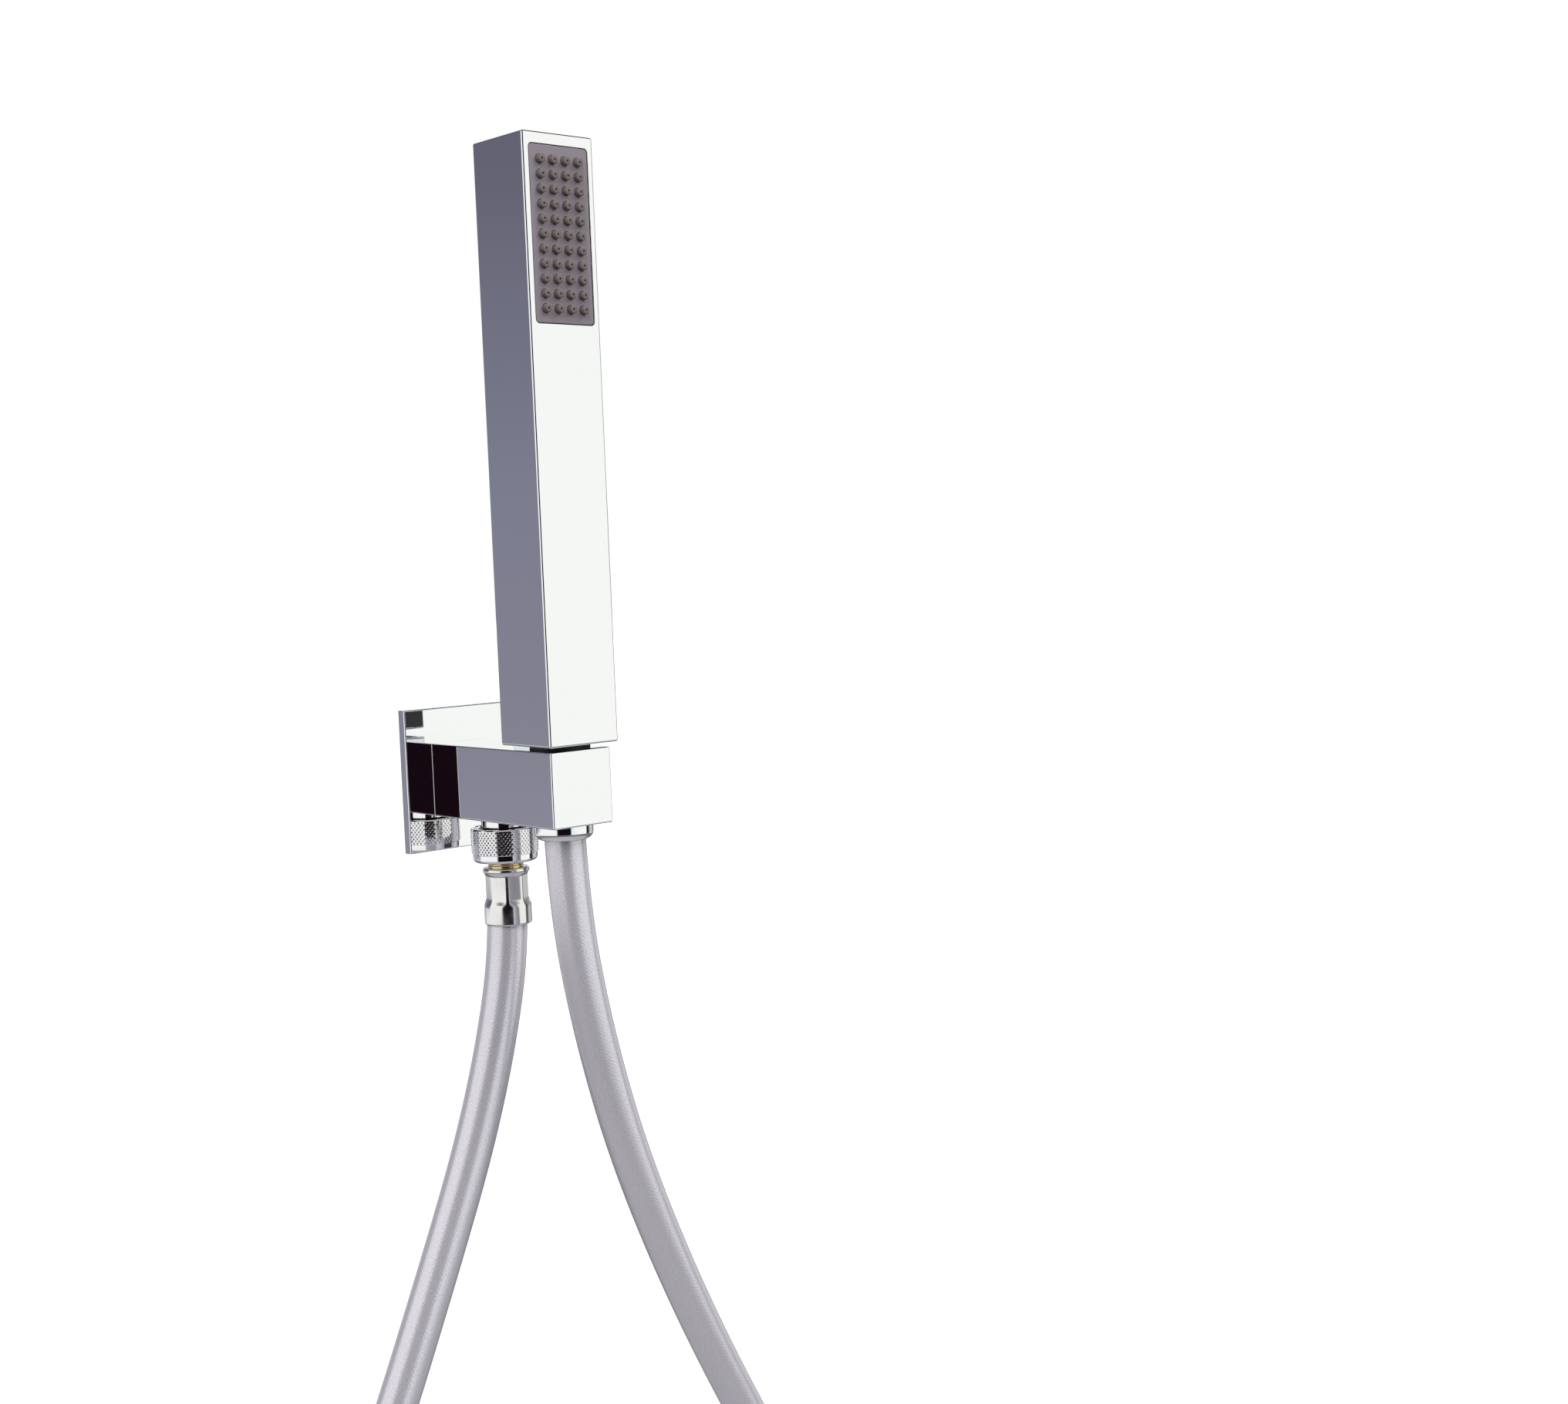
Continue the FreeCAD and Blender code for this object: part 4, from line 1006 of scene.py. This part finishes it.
def round_block(piece, radius, wanted, segments=5):
    """Rounds the block's edges that pass the test."""
    edit(piece, "EDGE")
    count = pick(piece, wanted, "EDGE")
    bpy.ops.mesh.bevel(offset=radius * MM, segments=segments, profile=0.5)
    bpy.ops.object.mode_set(mode="OBJECT")
    return count


def cut(piece, *cutters):
    """Takes the cutters away from a piece and removes them."""
    for cutter in cutters:
        only(piece)
        step = piece.modifiers.new("cut", "BOOLEAN")
        step.operation = "DIFFERENCE"
        step.solver = "EXACT"
        step.object = cutter
        bpy.ops.object.modifier_apply(modifier=step.name)
        bpy.data.objects.remove(cutter)


def round_cutter(name, radius, start, end, sides=96, tip=None):
    """A cylinder between two points, or a cone where the tip's radius is given."""
    start_clean()
    start, end = Vector(start) * MM, Vector(end) * MM
    bpy.ops.mesh.primitive_cone_add(
        vertices=sides,
        radius1=radius * MM,
        radius2=(tip or radius) * MM,
        depth=(end - start).length,
        location=(start + end) / 2,
        rotation=(end - start).to_track_quat("Z", "Y").to_euler(),
    )
    return named(name)


# %% [markdown]
# The wall plate is four millimetres thick, with its front edge rounded and a seat for its
# seal behind.

# %% Wall plate
PLATE_THICK = 4
plate = block("wall_plate", (-24.5, -PLATE_THICK, -27), (24.5, 0, 27))
front = round_block(plate, 0.5, lambda e: middle(e).y < (NEAR - PLATE_THICK) * MM, 4)
rim = block("seal_band", (-22.5, -1.2, -25), (22.5, 1, 25))
core = block("seal_core", (-19.5, -2, -22), (19.5, 2, 22))
cut(rim, core)
cut(plate, rim, round_cutter("plate_hole", 12.3, (0, -6, 0), (0, 2, 0)))
finish_metal(plate, 0.08 * MM)
dress(plate, "wall_plate", CHROME)
print("plate edges rounded", front)

# %% [markdown]
# The bracket is one block from the plate to the holder.  The tapered socket goes right
# through it, and a slot in its side lets the hose pass in and out.

# %% Bracket body
bracket = block("bracket_body", (-13.1, -79.9, -13.7), (13.1, -PLATE_THICK, 13.7))
round_block(bracket, 0.6, lambda e: middle(e).y < (-NEAR - PLATE_THICK) * MM, 4)
round_block(bracket, 0.25, lambda e: middle(e).y > (-HAIR - PLATE_THICK) * MM, 3)
cut(
    bracket,
    round_cutter("socket", 10.68, (0, HANDSET_Y, -14.7), (0, HANDSET_Y, 14.7), 128, 10.97),
    block("hose_slot", (0, HANDSET_Y - 8, -20), (20, HANDSET_Y + 8, 20)),
    round_cutter("spigot_bore", 8.02, (0, -2, 0), (0, -17, 0)),
    round_cutter("cross_bore", 4.2, (0, -16, 0), (0, -36, 0), 48),
    round_cutter("outlet_bore", 8.05, (0, OUTLET_Y, -16), (0, OUTLET_Y, -5)),
    round_cutter("upright_bore", 4.5, (0, OUTLET_Y, -6), (0, OUTLET_Y, 6), 48),
    round_cutter("grub_hole", 2.0, (0, -8.4, -16), (0, -8.4, -7.5), 48),
)
finish_metal(bracket, 0.15 * MM)
dress(bracket, "bracket_body", CHROME)

# %% [markdown]
# The stick is a thin-walled square tube, closed at the top, with a window in front for the
# spray face.

# %% Handle shell
stick_low, stick_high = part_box("handle_shell")
MID = 193.15  # the height of the window's middle
stick = block("handle_shell", (-15, HANDSET_Y - 15, 15.4), (15, HANDSET_Y + 15, 227.9))
round_block(stick, 0.8, lambda e: True, 5)
hollow = block("hollow", (-13.2, HANDSET_Y - 13.2, 10), (13.2, HANDSET_Y + 13.2, 226.1))
window = block("window", (-12.6, -90, MID - 30.65), (12.6, -78, MID + 30.65))
round_block(window, 1.5, lambda e: runs(e, 1), 8)
cut(stick, hollow, window)
finish_metal(stick, 0.18 * MM)
dress(stick, "handle_shell", CHROME)
print("stick is", [round((b - a) * 1000, 1) for a, b in zip(stick_low, stick_high)], "mm")

# %% [markdown]
# The spray face is one moulded panel with forty-four holes, and a soft nozzle stands in each.
# One hole is cut and one nozzle modelled, and two Array modifiers repeat each of them.

# %% Spray face
FACE_FRONT = HANDSET_Y - 14.85
FACE_BACK = HANDSET_Y - 12.15
COLUMN_STEP, ROW_STEP = 5.36, 5.09
COLUMNS, ROWS = 4, 11


def repeat(piece, steps):
    """Copies a piece along x and z with Array modifiers."""
    only(piece)
    for count, offset in steps:
        row = piece.modifiers.new("row", "ARRAY")
        row.count = count
        row.use_relative_offset = False
        row.use_constant_offset = True
        row.constant_offset_displace = Vector(offset) * MM
        bpy.ops.object.modifier_apply(modifier=row.name)


GRID = ((COLUMNS, (COLUMN_STEP, 0, 0)), (ROWS, (0, 0, ROW_STEP)))
FIRST = (-COLUMN_STEP * (COLUMNS - 1) / 2, MID - ROW_STEP * (ROWS - 1) / 2)


def build_face():
    """The panel with its rounded rim and holes."""
    low, high = (-12.45, FACE_FRONT, MID - 30.5), (12.45, FACE_BACK, MID + 30.5)
    panel = block("spray_face", low, high)
    round_block(panel, 1.35, lambda e: runs(e, 1), 8)
    round_block(panel, 0.35, lambda e: middle(e).y < (FACE_FRONT + HAIR) * MM, 3)
    before, behind = (FIRST[0], -90, FIRST[1]), (FIRST[0], FACE_BACK + 1, FIRST[1])
    holes = round_cutter("holes", 1.68, before, behind, 24)
    repeat(holes, GRID)
    cut(panel, holes)
    finish_metal(panel, 0.12 * MM, slope=50)
    return panel


face = build_face()
dress(face, "spray_face", FACE)

# %% [markdown]
# The nozzles are soft rubber pegs on a thin mat behind the face.  Each tip gets a rounded
# edge by a bevel, then an inset and a short extrude inwards for the jet hole.

# %% Nozzles
NOZZLE_TIP = FACE_FRONT - 1.8
TIP_FACE = 2e-6  # square metres, more than any face of the bevel


def build_nozzles():
    """One rubber nozzle, copied over the grid and standing on its mat."""
    foot, tip = (FIRST[0], FACE_BACK, FIRST[1]), (FIRST[0], NOZZLE_TIP, FIRST[1])
    nozzle = round_cutter("nozzle_mat", 1.62, foot, tip, 24, 1.52)

    def at_tip(face):
        return middle(face).y < (NOZZLE_TIP + HAIR) * MM

    edit(nozzle, "FACE")
    pick(nozzle, at_tip)
    bpy.ops.mesh.bevel(offset=0.42 * MM, segments=3)
    pick(nozzle, lambda f: f.calc_area() > TIP_FACE and at_tip(f))
    bpy.ops.mesh.inset(thickness=0.72 * MM)
    bpy.ops.mesh.extrude_region_move(TRANSFORM_OT_translate={"value": (0, 1.2 * MM, 0)})
    bpy.ops.object.mode_set(mode="OBJECT")
    repeat(nozzle, GRID)
    mat = block("mat", (-10, FACE_BACK, MID - 28), (10, FACE_BACK + 1.5, MID + 28))
    round_block(mat, 1.0, lambda e: runs(e, 1), 4)
    only(nozzle)
    mat.select_set(True)
    bpy.ops.object.join()
    finish_metal(nozzle, 0, slope=50)
    return nozzle


nozzles = build_nozzles()
dress(nozzles, "nozzle_mat", NOZZLE)

# %% [markdown]
# The inlet nipple screws into the pipe in the wall, so its end carries a half-inch pipe
# thread.  The thread is one small tooth profile carried round and along by the Screw
# modifier, and it stands on a plain turned core.

# %% Inlet nipple
PITCH = 1.814
THREAD_TURNS = 7
TOOTH_REACH, TOOTH_FLAT, TOOTH_AT = 1.08, 0.78, (9.4 * MM, 0, 0)
THREAD_STARTS = 1.2


def wind_up(piece, steps, rise, turns):
    """Carries a small outline round and up with the Screw modifier, and closes its ends."""
    wind = piece.modifiers.new("wind", "SCREW")
    wind.axis = "Z"
    wind.steps = wind.render_steps = steps
    wind.screw_offset = rise
    wind.iterations = turns
    bpy.ops.object.modifier_apply(modifier=wind.name)
    edit(piece, "EDGE")
    bpy.ops.mesh.select_all(action="SELECT")
    bpy.ops.mesh.fill_holes(sides=0)
    bpy.ops.mesh.normals_make_consistent(inside=False)
    bpy.ops.object.mode_set(mode="OBJECT")


def build_nipple():
    """The turned core, laid level, with its thread."""
    core = turned(
        "inlet_nipple",
        [
            (4.0, -16.5), (7.4, -16.5), (7.97, -15.9), (7.97, -13.6), (6.41, -13.6),
            (6.41, -11.6), (7.97, -11.6), (7.97, -11.25), (7.17, -10.45), (7.17, -6.35),
            (7.97, -5.55), (7.97, -3.9), (11.9, -3.9), (11.9, -1.2), (9.35, -1.2),
            (9.35, 14.4), (8.8, 15.0), (4.0, 15.0),
        ],
        0,
        sides=96,
    )
    finish_metal(core, 0.12 * MM)
    start_clean()
    bpy.ops.mesh.primitive_circle_add(
        vertices=4, radius=TOOTH_REACH * MM, location=TOOTH_AT, rotation=(math.pi / 2, 0, 0)
    )
    tooth = named("tooth")
    edit(tooth, "VERT")
    bpy.ops.mesh.select_all(action="SELECT")
    bpy.ops.transform.resize(value=(1, 1, TOOTH_FLAT), center_override=TOOTH_AT)
    bpy.ops.object.mode_set(mode="OBJECT")
    wind_up(tooth, 64, PITCH * MM, THREAD_TURNS)
    tooth.location.z = THREAD_STARTS * MM
    bpy.ops.object.transform_apply(location=True)
    bpy.ops.object.shade_smooth_by_angle(angle=math.radians(30))
    only(core)
    tooth.select_set(True)
    bpy.ops.object.join()
    core.rotation_euler.x = -math.pi / 2
    bpy.ops.object.transform_apply(rotation=True)
    return core


nipple = build_nipple()
dress(nipple, "inlet_nipple", BRASS)

# %% [markdown]
# The valve's spring is a round wire wound by the same modifier, between the heights that
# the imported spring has.

# %% Valve spring
COIL, WIRE, COIL_TURNS = 2.4, 0.25, 5
spring_low, spring_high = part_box("valve_spring")


def build_spring():
    """An open coil between the spring's two ends."""
    rise = (spring_high.z - spring_low.z - 2 * WIRE * MM) / COIL_TURNS
    start_clean()
    bpy.ops.mesh.primitive_circle_add(
        vertices=10,
        radius=WIRE * MM,
        location=(COIL * MM, 0, 0),
        rotation=(math.pi / 2, 0, 0),
    )
    coil = named("valve_spring")
    wind_up(coil, 32, rise, COIL_TURNS)
    coil.location = (0, OUTLET_Y * MM, spring_low.z + WIRE * MM)
    bpy.ops.object.transform_apply(location=True)
    bpy.ops.object.shade_smooth_by_angle(angle=math.radians(50))
    return coil


spring = build_spring()
dress(spring, "valve_spring", STEEL)

# %% [markdown]
# The parts inside are the right shape already, so they keep their own meshes and only get
# their finish.

# %% Finish of the inner parts
INNER_PARTS = (
    (FOAM, ("plate_seal",)),
    (RUBBER, ("inlet_o_ring", "lower_washer", "swivel_o_ring", "upper_washer")),
    (RUBBER, ("handle_base", "lower_tube_seal", "upper_tube_seal", "face_seal")),
    (STEEL, ("grub_screw", "swivel_clip", "upper_ferrule", "strainer")),
    (INNER, ("valve_cage", "valve_poppet", "flow_restrictor")),
    (INNER, ("water_tube", "water_chamber")),
    (BRASS, ("upper_barb",)),
)
for finish, nodes in INNER_PARTS:
    for node in nodes:
        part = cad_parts[node]
        if not part.material_slots:
            part.data.materials.append(finish)
        for place in part.material_slots:
            place.material = finish
print("inner parts", sum(len(nodes) for _, nodes in INNER_PARTS))

# %% [markdown]
# Every piece moves with the body that it belongs to.  When the stick is lifted, the length
# of hose under it goes up with it.  The other length belongs to no body and has its place
# put into its mesh, and the spring is given a mesh of its own.

# %% Rides
RIDES = {
    "bracket": (plate, bracket, neck, stem, ferrule, nipple, spring),
    "outlet_nut": (nut,),
    "handset": (cone, stick, face, nozzles),
    "hose_end": (stick_hose,),
}
for body, pieces in RIDES.items():
    for piece in pieces:
        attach(piece, body)

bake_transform(wall_hose)

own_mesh(spring)
print("rides", {body: len(pieces) for body, pieces in RIDES.items()})
